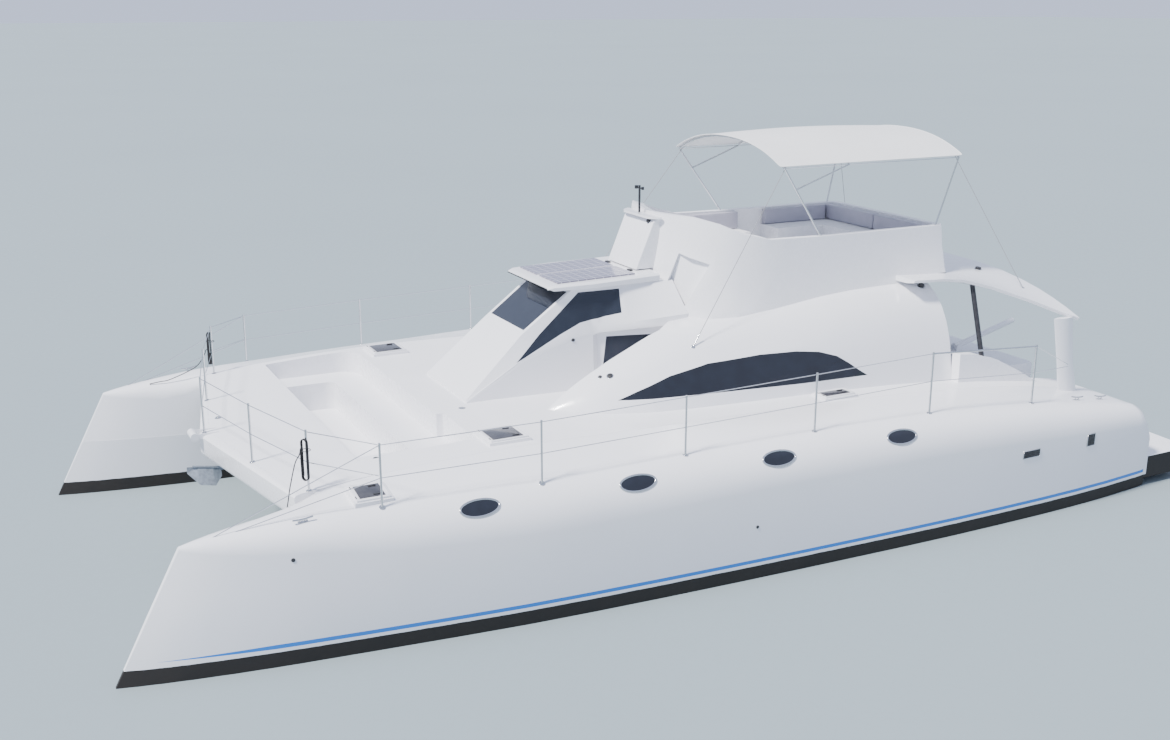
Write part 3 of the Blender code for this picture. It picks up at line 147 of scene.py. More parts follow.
def weathered(name, colour, stain, amount, scale, rough_low, rough_high, grain, depth, metallic=0.0):
    """A finish of one colour: stains of an amount and scale, a gloss between two
    roughnesses, and a grain of a scale and depth."""
    made = bpy.data.materials.new(name)
    made.use_nodes = True
    made.diffuse_color = (*colour, 1.0)
    tree = made.node_tree
    shader = tree.nodes["Principled BSDF"]
    shader.inputs["Roughness"].default_value = (rough_low + rough_high) / 2
    shader.inputs["Metallic"].default_value = metallic
    shader.inputs["Base Color"].default_value = (*colour, 1.0)
    weather = tree.nodes.new("ShaderNodeGroup")
    weather.name = "Weather"
    weather.node_tree = WEATHER
    for key, value in (("Colour", (*colour, 1)), ("Stain", (*stain, 1)),
                       ("Stain amount", amount), ("Stain scale", scale),
                       ("Rough low", rough_low), ("Rough high", rough_high),
                       ("Grain scale", grain), ("Grain depth", depth)):
        weather.inputs[key].default_value = value
    for given, taken in (("Colour", "Base Color"), ("Roughness", "Roughness"), ("Normal", "Normal")):
        tree.links.new(weather.outputs[given], shader.inputs[taken])
    return made


def workings(finish):
    """The node tree of a finish, its shader and its weather, for a pattern to join in."""
    tree = finish.node_tree
    return tree, tree.nodes["Principled BSDF"], tree.nodes["Weather"]


def add_relief(finish, height, strength, distance):
    """Lets a pattern stand proud of a finish's own grain."""
    tree, shader, weather = workings(finish)
    relief = put(tree, "Bump", {"Strength": strength, "Distance": distance, "Height": height,
                                "Normal": weather.outputs["Normal"]})
    tree.links.new(relief.outputs[0], shader.inputs["Normal"])


def smooth_path(points, steps):
    """Points on a smooth curve through the given ones."""
    pts = [2 * points[0] - points[1]] + points + [2 * points[-1] - points[-2]]
    path = []
    for a, b, c, d in zip(pts, pts[1:], pts[2:], pts[3:]):
        for step in range(steps):
            t = step / steps
            path.append(0.5 * (2 * b + (c - a) * t + (2 * a - 5 * b + 4 * c - d) * t * t
                               + (3 * b - a - 3 * c + d) * t ** 3))
    path.append(points[-1])
    return path


def line_curve(name, points, radius, finish, closed=False, sides=3):
    """A tube along points, kept as a curve."""
    curve = bpy.data.curves.new(name, "CURVE")
    curve.dimensions = "3D"
    curve.bevel_depth = radius
    curve.bevel_resolution = sides
    curve.use_fill_caps = not closed
    spline = curve.splines.new("POLY")
    spline.points.add(len(points) - 1)
    for point, place in zip(spline.points, points):
        point.co = (*place, 1)
    spline.use_cyclic_u = closed
    spline.use_smooth = True
    curve.materials.append(finish)
    made = bpy.data.objects.new(name, curve)
    bpy.context.scene.collection.objects.link(made)
    return made


def tube(name, points, radius, finish, closed=False, sides=3):
    """A tube along points, made a mesh."""
    made = line_curve(name, points, radius, finish, closed, sides)
    pick(made)
    bpy.ops.object.convert(target="MESH")
    return bpy.context.object


ROPE_BLACK = weathered("black_braid", (0.018, 0.018, 0.02), (0.07, 0.07, 0.075), 0.6, 60.0,
                       0.7, 0.9, 900.0, 0.5)
tree = ROPE_BLACK.node_tree
twist = put(tree, "TexWave", {"Vector": own_place(tree), "Scale": 75.0, "Distortion": 1.5},
            bands_direction="DIAGONAL")
add_relief(ROPE_BLACK, twist.outputs[0], 0.8, 0.002)

DOWN = Vector((0, 0, -1))
INBOARD = Vector((-1, 0, 0))
ABEAM = 6.0
ABOVE_DECK, ABOVE_ROOF, ABOVE_FLYBRIDGE = 3.0, 4.0, 5.0
depsgraph = bpy.context.evaluated_depsgraph_get()
skins = {node: BVHTree.FromObject(nodes[node], depsgraph) for node in (
    "hull_port", "bridge_deck", "coachroof", "helm_pod", "helm_roof", "flybridge", "cockpit_roof")}
hull_skin = skins["hull_port"]


def below(node, x, y, height):
    """Where a solid is met from straight above, and its normal there."""
    return skins[node].ray_cast(Vector((x, y, height)), DOWN)[:2]


ROPE_R = 0.0062
HANK_THICK, HANK_LOW, HANK_HIGH = 0.05, 1.76, 2.24
HANK_TURN = 0.0385
HANK_LOOPS = 3
STRAIGHT_STEPS, BEND_STEPS, LEAD_STEPS = 4, 8, 6
STANCHION_R = 0.0135
STANCHION_X, STANCHION_Y = 2.60, -5.03
CLEAR_OF_STANCHION, CLEAR_OF_HANK, CLEAR_OF_DECK = 0.0005, 0.0004, 0.0006
FOOT_LIFT = 0.014
# Of the line coming off its hank: outward, across and down.
OFF_HANK = ((0.003, 0.026, 0.035), (0.016, 0.004, 0), (0.040, 0, 0.02), (0.062, 0, 0.075))
TIE_R, TIE_Z, TIE_HALF = 0.004, 2.105, 0.052
TIE_INNER, TIE_OUTER, TIE_STEPS = 0.006, 0.010, 32
# Side, height at which the line leaves the hank, points on its way, its end on deck.
ROPES = (
    ("port", 1, 2.16, [(2.70, -5.19, 2.00), (2.71, -5.26, 1.75)], (2.72, -5.30)),
    ("starboard", -1, 1.98, [(-2.73, -5.26, 1.72), (-2.82, -5.60, 1.56)], (-2.90, -5.88)),
)
edge = ROPE_R + HANK_TURN
low, high = HANK_LOW + edge, HANK_HIGH - edge
around = []
for sense, here, there in ((1, low, high), (-1, high, low)):
    around += [(sense * HANK_TURN, here + (there - here) * n / STRAIGHT_STEPS)
               for n in range(STRAIGHT_STEPS)]
    around += [(sense * HANK_TURN * math.cos(math.pi * n / BEND_STEPS),
                there + sense * HANK_TURN * math.sin(math.pi * n / BEND_STEPS))
               for n in range(BEND_STEPS)]
depth = HANK_THICK - 2 * ROPE_R
steps = HANK_LOOPS * len(around)
for name, side, leave_z, way, (end_x, end_y) in ROPES:
    out = Vector((side * 0.6, -0.8, 0))
    wide = Vector((out.y, -out.x, 0))
    middle = (Vector((side * STANCHION_X, STANCHION_Y, 0))
              + out * (STANCHION_R + CLEAR_OF_STANCHION + HANK_THICK / 2))
    turns = []
    for step in range(steps + 1):
        across, z = around[step % len(around)]
        turns.append(middle + wide * across + out * (depth * (step / steps - 0.5))
                     + Vector((0, 0, z)))
    start = middle + out * (HANK_THICK / 2 + CLEAR_OF_HANK) + Vector((0, 0, leave_z))
    on_deck, upward = below("hull_port", abs(end_x), end_y, ABOVE_DECK)
    on_deck.x, upward.x = side * on_deck.x, side * upward.x
    climb = [turns[-1] + Vector((0, 0, (leave_z - low) * share)) + out * (0.004 * share)
             for share in (0.3, 0.6)]
    off = [start + out * outward + wide * across - Vector((0, 0, drop))
           for outward, across, drop in OFF_HANK]
    way = [Vector(p) for p in way]
    foot = on_deck + upward * FOOT_LIFT
    way += [foot + (way[-1] - foot) * share for share in (0.5, 0.22)]
    lead = smooth_path([turns[-1]] + climb + off + way + [foot], LEAD_STEPS)
    route = turns + lead[1:] + [on_deck + upward * CLEAR_OF_DECK]
    route.reverse()
    rope = line_curve("spare_rope_" + name, route, ROPE_R, ROPE_BLACK)
    hold = STANCHION_R + TIE_INNER
    band = [middle + wide * (TIE_HALF * math.cos(a))
            + out * (-hold + (HANK_THICK / 2 + TIE_OUTER + hold) * math.sin(a))
            + Vector((0, 0, TIE_Z)) for a in (math.tau * n / TIE_STEPS for n in range(TIE_STEPS))]
    tie = tube("rope_tie_" + name, band, TIE_R, ROPE_BLACK, closed=True)
    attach(rope, "boat")
    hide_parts("rope_hank_" + name, "rope_line_" + name)
    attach(tie, "boat")

# ---- Water and light: a plain pale floor at the waterline, an even pale sky and a
# soft high sun from ahead.
FLOOR_SIZE = 900.0
SKY_COLOUR, SKY_STRENGTH = (0.66, 0.75, 1.0, 1.0), 1.15
SUN_COLOUR, SUN_STRENGTH = (1.0, 0.975, 0.94), 7.5
SUN_WIDTH = math.radians(9)
SUN_PLACE = (6, -10, 20)
SUN_FROM = Vector((0.10, -0.75, 1.0))
FLOOR_PALE = weathered("pale_floor", (0.27, 0.33, 0.355), (0.25, 0.305, 0.33), 0.5, 0.05,
                       0.6, 0.75, 3.0, 0.02)
bpy.ops.mesh.primitive_plane_add(size=FLOOR_SIZE)
floor = bpy.context.object
floor.name = "floor"
floor.data.materials.append(FLOOR_PALE)
sky = bpy.data.worlds.new("pale_sky")
sky.use_nodes = True
sky.node_tree.nodes["Background"].inputs["Color"].default_value = SKY_COLOUR
sky.node_tree.nodes["Background"].inputs["Strength"].default_value = SKY_STRENGTH
bpy.context.scene.world = sky
bpy.ops.object.light_add(type="SUN", location=SUN_PLACE)
sun = bpy.context.object
sun.data.energy = SUN_STRENGTH
sun.data.angle = SUN_WIDTH
sun.data.color = SUN_COLOUR
sun.rotation_mode = "QUATERNION"
sun.rotation_quaternion = SUN_FROM.to_track_quat("Z", "Y")

# ---- Hulls: glass-fibre shells in white gelcoat with black antifouling below the
# waterline, a blue boot stripe on each outer side and a black-sided step at each stern.
GEL_WHITE = (0.86, 0.86, 0.89)
GEL_STAIN = (0.66, 0.66, 0.70)
WELD = 0.00005
SHELL_ANGLE, RAIL_ANGLE, FITTING_ANGLE = 34.0, 50.0, 40.0


def piece_from(bm, name, finish):
    """A new piece with the faces of a bmesh, which is freed."""
    bm.verts.index_update()
    mesh = bpy.data.meshes.new(name)
    mesh.from_pydata([tuple(v.co) for v in bm.verts], [],
                     [[v.index for v in f.verts] for f in bm.faces])
    bm.free()
    mesh.materials.append(finish)
    piece = bpy.data.objects.new(name, mesh)
    bpy.context.scene.collection.objects.link(piece)
    pick(piece)
    return piece


def shade(degrees):
    """Smooth shading of the picked piece, but for edges sharper than this."""
    bpy.ops.object.shade_smooth_by_angle(angle=math.radians(degrees))


def smooth_shell(node, finish, angle=SHELL_ANGLE):
    """A smooth-shaded copy of a solid that stands for it."""
    bm = bmesh.new()
    bm.from_mesh(nodes[node].data)
    bmesh.ops.remove_doubles(bm, verts=bm.verts, dist=WELD)
    piece = piece_from(bm, node + "_skin", finish)
    shade(angle)
    even = piece.modifiers.new("even", "WEIGHTED_NORMAL")
    even.keep_sharp = True
    bpy.ops.object.modifier_apply(modifier=even.name)
    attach(piece, body_of[node])
    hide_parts(node)


BLACK_TOP, BLACK_RAGGED = 0.182, 0.010
STEP_FORE, STEP_TOP = 6.93, 0.446
STRIPE_Z, STRIPE_HALF, STRIPE_INNER = 0.243, 0.024, 3.06
STRIPE_BOW, STRIPE_STERN, STRIPE_TAPER = -6.85, 6.86, 1.2
STRIPE_BLUE = (0.02, 0.20, 0.66, 1)
FOULING_BLACK, FOULING_SLIME = (0.004, 0.004, 0.005, 1), (0.022, 0.017, 0.014, 1)
FOULING_ROUGH = 0.7
HULL_PAINT = weathered("hull_gelcoat", GEL_WHITE, GEL_STAIN, 0.10, 0.8, 0.16, 0.26, 60.0, 0.02)
tree, shader, weather = workings(HULL_PAINT)
place = own_place(tree)
axis = put(tree, "SeparateXYZ", {0: place}).outputs
ripple = put(tree, "TexNoise", {"Vector": place, "Scale": 9.0, "Detail": 4.0})
level = maths(tree, "ADD", axis[2], maths(tree, "MULTIPLY", ripple.outputs[0], BLACK_RAGGED))
step_side = maths(tree, "MULTIPLY", maths(tree, "GREATER_THAN", axis[1], STEP_FORE),
                  maths(tree, "LESS_THAN", axis[2], STEP_TOP))
black = maths(tree, "MAXIMUM", maths(tree, "LESS_THAN", level, BLACK_TOP), step_side)
slime = put(tree, "TexNoise", {"Vector": place, "Scale": 3.0, "Detail": 8.0, "Roughness": 0.7})
foul = blend(tree, slime.outputs[0], FOULING_BLACK, FOULING_SLIME)
width = put(tree, "MapRange", {"Value": maths(tree, "ADD", axis[1], -STRIPE_BOW), "From Min": 0.0,
                               "From Max": STRIPE_TAPER, "To Min": 0.0, "To Max": STRIPE_HALF})
off_line = maths(tree, "ABSOLUTE", maths(tree, "SUBTRACT", axis[2], STRIPE_Z))
striped = maths(tree, "LESS_THAN", off_line, width.outputs[0])
outside = maths(tree, "GREATER_THAN", maths(tree, "ABSOLUTE", axis[0]), STRIPE_INNER)
for limit in (outside, maths(tree, "LESS_THAN", axis[1], STRIPE_STERN)):
    striped = maths(tree, "MULTIPLY", striped, limit)
striping = blend(tree, striped, weather.outputs["Colour"], STRIPE_BLUE)
tree.links.new(blend(tree, black, striping, foul), shader.inputs["Base Color"])
dull = put(tree, "Mix", {0: black, 2: weather.outputs["Roughness"], 3: FOULING_ROUGH})
tree.links.new(dull.outputs[0], shader.inputs["Roughness"])
for side in ("port", "starboard"):
    smooth_shell("hull_" + side, HULL_PAINT)


# ---- Portholes: four oval lights in each outer side, dark glass in a polished rim
# that is bent to the hull's round shoulder and bedded on it.
def set_shader(finish, sockets):
    """Gives sockets of a finish's shader a value."""
    for key, value in sockets.items():
        finish.node_tree.nodes["Principled BSDF"].inputs[key].default_value = value


def on_boat(piece, body="boat"):
    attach(piece, body)


def both_sides(piece):
    """Gives the boat a piece and its mirror image across the centreline."""
    on_boat(piece)
    twin = bpy.data.objects.new(piece.name.replace("_port", "_starboard"), piece.data.copy())
    twin.data.transform(Matrix.Scale(-1, 4, (1, 0, 0)))
    twin.data.flip_normals()
    bpy.context.scene.collection.objects.link(twin)
    on_boat(twin)


STEEL = weathered("polished_steel", (0.62, 0.63, 0.65), (0.42, 0.42, 0.43), 0.35, 14.0,
                  0.10, 0.26, 400.0, 0.04, metallic=1.0)
DARK_GLASS = weathered("dark_glazing", (0.003, 0.004, 0.009), (0.010, 0.013, 0.024), 0.5, 5.0,
                       0.03, 0.09, 20.0, 0.01)
set_shader(DARK_GLASS, {"Coat Weight": 0.5})
PORTHOLES = ((-3.39, 1.46), (-1.49, 1.47), (0.40, 1.49), (2.25, 1.49))
PORT_LONG, PORT_HIGH = 0.225, 0.098
RIM_R, RIM_PROUD = 0.014, 0.002
GLASS_RINGS = (0.97, 0.75, 0.5, 0.25)
GLASS_PROUD, GLASS_CROWN = 0.006, 0.002
RING_STEPS = 48
for number, (y, z) in enumerate(PORTHOLES, 1):
    hit, normal = hull_skin.ray_cast(Vector((ABEAM, y, z)), INBOARD)[:2]
    along = (Vector((0, 1, 0)) - normal * normal.y).normalized()
    up = along.cross(normal) * -1
    if up.z < 0:
        up.negate()

    def on_shoulder(angle, share, proud):
        spot = (hit + along * (PORT_LONG * share * math.cos(angle))
                + up * (PORT_HIGH * share * math.sin(angle)))
        found = hull_skin.ray_cast(spot + normal * 0.3, -normal)
        return found[0] + normal * proud

    angles = [math.tau * n / RING_STEPS for n in range(RING_STEPS)]
    rings = [[on_shoulder(a, GLASS_RINGS[0], -GLASS_PROUD) for a in angles]]
    rings += [[on_shoulder(a, share, GLASS_PROUD - GLASS_CROWN * share) for a in angles]
              for share in GLASS_RINGS]
    bm = bmesh.new()
    loops = [[bm.verts.new(p) for p in ring] for ring in rings]
    for ring, within in zip(loops, loops[1:]):
        for n in range(RING_STEPS):
            after = (n + 1) % RING_STEPS
            bm.faces.new((ring[n], ring[after], within[after], within[n]))
    bm.faces.new(loops[-1])
    bm.faces.new(list(reversed(loops[0])))
    bmesh.ops.recalc_face_normals(bm, faces=bm.faces)
    glass = piece_from(bm, "porthole_glass_port_%d" % number, DARK_GLASS)
    shade(FITTING_ANGLE)
    rim = tube("porthole_rim_port_%d" % number, [on_shoulder(a, 1.0, RIM_PROUD) for a in angles],
               RIM_R, STEEL, closed=True)
    both_sides(glass)
    both_sides(rim)


# ---- Hull outlets: a slotted engine vent, a square exhaust flap, round drains, and
# the deck cleats, all dark or steel fittings screwed on near the edge.
def stand_on(point, normal, along=(0, 1, 0)):
    """A matrix that stands a flat-made piece on a surface."""
    along = Vector(along)
    along = (along - normal * along.dot(normal)).normalized()
    turned = Matrix((along, normal.cross(along), normal)).transposed().to_4x4()
    return Matrix.Translation(point) @ turned


def roll_edges(made, width, segments=3):
    """Rounds the sharp edges of the picked mesh."""
    roll = made.modifiers.new("roll", "BEVEL")
    roll.width, roll.segments, roll.limit_method = width, segments, "ANGLE"
    bpy.ops.object.modifier_apply(modifier=roll.name)


def plain_block(name, half):
    """A block of these half sizes, on z 0."""
    bpy.ops.mesh.primitive_cube_add(size=2.0)
    made = bpy.context.object
    made.name = made.data.name = name
    made.data.transform(Matrix.Translation((0, 0, half[2])) @ Matrix.Diagonal((*half, 1)))
    return made


def finished(made, finish, matrix):
    """Smooth shading, a finish and a place for the picked mesh."""
    made.data.materials.append(finish)
    shade(FITTING_ANGLE)
    made.data.transform(matrix)
    return made


def soft_block(name, half, finish, edge, matrix):
    """A block with rolled edges, stood in its place."""
    made = plain_block(name, half)
    roll_edges(made, edge)
    return finished(made, finish, matrix)


CAP_SIDES, CAP_ROUND = 32, 0.3


def soft_disc(name, radius, height, finish, matrix):
    """A round cap with rolled edges, stood in its place."""
    bpy.ops.mesh.primitive_cylinder_add(vertices=CAP_SIDES, radius=radius, depth=height)
    made = bpy.context.object
    made.name = made.data.name = name
    made.data.transform(Matrix.Translation((0, 0, height / 2)))
    roll_edges(made, height * CAP_ROUND)
    return finished(made, finish, matrix)


def join(name, *pieces):
    pick(*pieces)
    bpy.ops.object.join()
    made = bpy.context.object
    made.name = made.data.name = name
    return made


DARK_PLASTIC = weathered("black_moulding", (0.02, 0.02, 0.023), (0.06, 0.06, 0.065), 0.5, 20.0,
                         0.35, 0.55, 300.0, 0.1)
# How deep a fitting is let into its ground: outlets and flanges, cleats and caps.
SET_IN, LET_IN = 0.003, 0.002
DRAIN_HIGH, VENT_HIGH = 0.010, 0.005
VENT_RIM_R, VENT_RIM_Z, VENT_BAR_R, VENT_BAR_Z = 0.005, 0.009, 0.0035, 0.011
OUTLETS = (("engine_vent", 4.41, 0.95, 0.15, 0.05), ("exhaust_flap", 5.55, 0.96, 0.075, 0.085),
           ("drain_fore", -5.43, 1.20, 0.022, 0.022), ("drain_mid", 0.06, 0.70, 0.020, 0.020))
for name, y, z, half_y, half_z in OUTLETS:
    hit, normal = hull_skin.ray_cast(Vector((ABEAM, y, z)), INBOARD)[:2]
    ground = stand_on(hit - normal * SET_IN, normal)
    if name.startswith("drain"):
        piece = soft_disc(name + "_port", half_y, DRAIN_HIGH, DARK_PLASTIC, ground)
    else:
        parts = [soft_block(name, (half_y, half_z, VENT_HIGH), DARK_PLASTIC, 0.004, ground)]
        rim = [ground @ Vector((half_y * u, half_z * v, VENT_RIM_Z))
               for u, v in ((-1, -1), (1, -1), (1, 1), (-1, 1))]
        parts.append(tube(name + "_rim", rim, VENT_RIM_R, STEEL, closed=True))
        for bar in range(1, 4):
            across = half_z * (bar / 2 - 1)
            ends = [ground @ Vector((end * half_y * 0.9, across, VENT_BAR_Z)) for end in (-1, 1)]
            parts.append(tube(name + "_bar", ends, VENT_BAR_R, DARK_PLASTIC))
        piece = join(name + "_port", *parts)
    both_sides(piece)

CLEATS = ((3.228, -5.268), (3.26, 6.20), (3.305, 5.70))
CLEAT_FOOT = (0.055, 0.020, 0.004)
CLEAT_LEG, LEG_LOW, LEG_HIGH, LEG_R = 0.028, 0.004, 0.040, 0.009
HORN = ((-0.11, 0.052), (-0.07, 0.046), (-0.03, 0.042), (0.03, 0.042), (0.07, 0.046), (0.11, 0.052))
HORN_R = 0.010
for number, (x, y) in enumerate(CLEATS, 1):
    hit, normal = below("hull_port", x, y, ABOVE_DECK)
    ground = stand_on(hit - normal * LET_IN, normal)
    parts = [soft_block("cleat", CLEAT_FOOT, STEEL, 0.003, ground)]
    for leg in (-CLEAT_LEG, CLEAT_LEG):
        parts.append(tube("leg", [ground @ Vector((leg, 0, h)) for h in (LEG_LOW, LEG_HIGH)],
                          LEG_R, STEEL))
    parts.append(tube("horn", [ground @ Vector((u, 0, h)) for u, h in HORN], HORN_R, STEEL))
    both_sides(join("cleat_port_%d" % number, *parts))

# ---- Bridge deck and the mouldings on it: white gelcoat with a fine non-skid
# pattern where a face is level enough to stand on.
LEVEL_ENOUGH, NON_SKID_ROUGH = 0.975, 0.55
DECK_WHITE = weathered("deck_gelcoat", GEL_WHITE, GEL_STAIN, 0.14, 1.1, 0.20, 0.34, 90.0, 0.03)
set_shader(DECK_WHITE, {"Coat Weight": 0.2})
tree, shader, weather = workings(DECK_WHITE)
facing = put(tree, "SeparateXYZ", {0: put(tree, "NewGeometry").outputs["True Normal"]}).outputs[2]
level = maths(tree, "GREATER_THAN", facing, LEVEL_ENOUGH)
studs = put(tree, "TexVoronoi", {"Vector": own_place(tree), "Scale": 140.0})
add_relief(DECK_WHITE, maths(tree, "MULTIPLY", studs.outputs["Distance"], level), 0.35, 0.002)
matt = put(tree, "Mix", {0: level, 2: weather.outputs["Roughness"], 3: NON_SKID_ROUGH})
tree.links.new(matt.outputs[0], shader.inputs["Roughness"])
for node in ("bridge_deck", "saloon_galley", "cockpit_bench", "fly_seat", "fly_front_seat",
             "flybridge"):
    smooth_shell(node, DECK_WHITE)

# ---- Coachroof, helm pod, roofs and other smooth mouldings: polished white gelcoat.
ROOF_WHITE = weathered("roof_gelcoat", GEL_WHITE, GEL_STAIN, 0.12, 0.9, 0.14, 0.26, 60.0, 0.02)
set_shader(ROOF_WHITE, {"Coat Weight": 0.4, "Coat Roughness": 0.06})
for node in ("coachroof", "helm_pod", "helm_roof", "helm_console", "helm_seat_base", "fly_hood",
             "cockpit_roof", "bow_roller", "davit_boom", "saloon_bulkhead"):
    smooth_shell(node, ROOF_WHITE)

# ---- Windows: dark acrylic with a navy cast, bonded flush, and the helm pod's
# lighter screens, which let some light through.
TINTED = weathered("tinted_screen", (0.03, 0.038, 0.060), (0.05, 0.06, 0.085), 0.4, 6.0,
                   0.02, 0.06, 20.0, 0.01)
set_shader(TINTED, {"Transmission Weight": 0.45, "IOR": 1.45})
for node in ("saloon_glass_port", "saloon_glass_starboard", "saloon_door"):
    smooth_shell(node, DARK_GLASS)
for node in ("windscreen", "pod_glass_port", "pod_glass_starboard", "gully_glass_port",
             "gully_glass_starboard"):
    smooth_shell(node, TINTED)

# ---- Hatches: a white rolled frame with a smoked acrylic lens bedded in it, two black
# handles and two hinge knuckles; each lid turns on its forward edge.
SMOKED = weathered("smoked_acrylic", (0.045, 0.045, 0.055), (0.10, 0.10, 0.11), 0.5, 8.0,
                   0.08, 0.2, 200.0, 0.03)
HATCHES = (("fore_port", 0.24, 0.24, 0.0), ("fore_starboard", 0.24, 0.24, 0.0),
           ("side_port", 0.13, 0.24, 0.0), ("side_starboard", 0.13, 0.24, 0.0),
           ("bow_port", 0.18, 0.19, 9.0))
LID_THICK, LID_EDGE = 0.022, 0.005
FRAME_WIDE, FRAME_STEP = 0.045, 0.008
LENS_IN, LENS_Z, LENS_HALF = 0.047, 0.0145, 0.003
HANDLE_HALF = (0.012, 0.042, 0.005)
HANDLE_IN, HANDLE_AFT, HANDLE_Z = 0.085, 0.13, 0.0203
HINGE_IN, HINGE_FORE, HINGE_SUNK, HINGE_HALF, HINGE_R = 0.07, 0.010, 0.001, 0.022, 0.006
for name, half_x, half_y, tilt in HATCHES:
    node = "hatch_lid_" + name
    low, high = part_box(node)
    ground = (Matrix.Translation((low + high) / 2) @ Matrix.Rotation(math.radians(tilt), 4, "Y")
              @ Matrix.Translation((0, 0, -LID_THICK / 2)))
    lid = plain_block("hatch_frame_" + name, (half_x, half_y, LID_THICK / 2))
    bm = bmesh.new()
    bm.from_mesh(lid.data)
    top = [f for f in bm.faces if f.normal.z > 0.9]
    bmesh.ops.inset_region(bm, faces=top, thickness=FRAME_WIDE, depth=0.0)
    bmesh.ops.translate(bm, verts=top[0].verts, vec=(0, 0, -FRAME_STEP))
    bm.to_mesh(lid.data)
    bm.free()
    roll_edges(lid, LID_EDGE)
    finished(lid, ROOF_WHITE, ground)
    lens = soft_block("hatch_lens_" + name, (half_x - LENS_IN, half_y - LENS_IN, LENS_HALF),
                      SMOKED, 0.002, ground @ Matrix.Translation((0, 0, LENS_Z)))
    gear = []
    for side in (-1, 1):
        spot = (side * (half_x - HANDLE_IN), half_y - HANDLE_AFT, HANDLE_Z)
        gear.append(soft_block("handle", HANDLE_HALF, DARK_PLASTIC, 0.004,
                               ground @ Matrix.Translation(spot)))
    for side in (-1, 1):
        pin = [ground @ Vector((side * (half_x - HINGE_IN) + along, -half_y + HINGE_FORE,
                                LID_THICK - HINGE_SUNK)) for along in (-HINGE_HALF, HINGE_HALF)]
        gear.append(tube("hinge", pin, HINGE_R, DARK_PLASTIC))
    gear = join("hatch_gear_" + name, *gear)
    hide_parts(node)
    on_boat(lid, node)
    on_boat(lens, node)
    on_boat(gear, node)

# ---- Solar panels: thin flexible panels glued to the helm's roof, dark lilac cells
# between fine pale lines, with two black cable glands at the aft edge.
CELL, CELL_LINE = 0.125, 0.004
LINE_COLOUR = (0.62, 0.61, 0.68, 1)
CELLS = weathered("solar_cells", (0.16, 0.15, 0.22), (0.24, 0.22, 0.30), 0.5, 5.0,
                  0.18, 0.32, 80.0, 0.02)
set_shader(CELLS, {"Coat Weight": 0.6})
tree, shader, weather = workings(CELLS)
moved = put(tree, "Mapping", {"Vector": own_place(tree), "Location": (0.035, 0.02, 0.0)})
grid = put(tree, "TexBrick", {"Vector": moved.outputs[0], "Scale": 1.0, "Mortar Size": CELL_LINE,
                              "Mortar Smooth": 0.1, "Brick Width": CELL, "Row Height": CELL,
                              "Color1": (0, 0, 0, 1), "Color2": (0, 0, 0, 1),
                              "Mortar": (1, 1, 1, 1)}, offset=0.0)
tree.links.new(blend(tree, grid.outputs["Fac"], weather.outputs["Colour"], LINE_COLOUR),
               shader.inputs["Base Color"])
for side in ("port", "starboard"):
    smooth_shell("solar_panel_" + side, CELLS)
GLAND_HALF, GLAND_Y = (0.045, 0.028, 0.012), 0.14
for number, x in enumerate((-0.30, 0.36), 1):
    hit = below("helm_roof", x, GLAND_Y, ABOVE_ROOF)[0]
    gland = soft_block("cable_gland_%d" % number, GLAND_HALF, DARK_PLASTIC, 0.008,
                       Matrix.Translation(hit - Vector((0, 0, 0.001))))
    on_boat(gland)

# ---- Metal work: polished stainless rails, bows and shafts with round flanges at the
# stanchions' feet, a galvanised anchor, bronze propellers and rudders, black posts.
for node in ("rail_bow", "rail_port", "rail_starboard", "bimini_frame", "drive_shaft_port",
             "drive_shaft_starboard"):
    smooth_shell(node, STEEL, RAIL_ANGLE)
GALVANISED = weathered("galvanised_steel", (0.30, 0.34, 0.39), (0.16, 0.17, 0.19), 0.7, 25.0,
                       0.45, 0.65, 160.0, 0.15, metallic=0.7)
smooth_shell("anchor", GALVANISED)
BRONZE = weathered("cast_bronze", (0.46, 0.30, 0.13), (0.16, 0.22, 0.17), 0.7, 9.0,
                   0.30, 0.55, 140.0, 0.15, metallic=0.9)
for node in ("propeller_port", "propeller_starboard", "rudder_port", "rudder_starboard"):
    smooth_shell(node, BRONZE)
BLACK_PAINT = weathered("satin_black", (0.018, 0.018, 0.022), (0.05, 0.05, 0.055), 0.5, 16.0,
                        0.28, 0.42, 260.0, 0.06)
for node in ("roof_post_port", "roof_post_starboard", "antenna_mast", "steering_wheel"):
    smooth_shell(node, BLACK_PAINT)


def flange(name, node, x, y, radius):
    """A stanchion's round foot on a solid's deck."""
    hit, normal = below(node, x, y, ABOVE_DECK)
    return soft_disc(name, radius, 0.012, STEEL, stand_on(hit - normal * SET_IN, normal))


SIDE_FEET = ((3.27, -4.42), (3.40, -2.60), (3.42, -0.75), (3.43, 1.10), (3.42, 2.93), (3.40, 4.74))
BOW_FEET = ((2.60, -5.03), (1.36, -5.37), (0.0, -5.66), (-1.36, -5.37), (-2.60, -5.03))
for number, (x, y) in enumerate(SIDE_FEET, 1):
    both_sides(flange("rail_foot_port_%d" % number, "hull_port", x, y, 0.036))
for number, (x, y) in enumerate(BOW_FEET, 1):
    on_boat(flange("bow_rail_foot_%d" % number, "bridge_deck", x, y, 0.034))

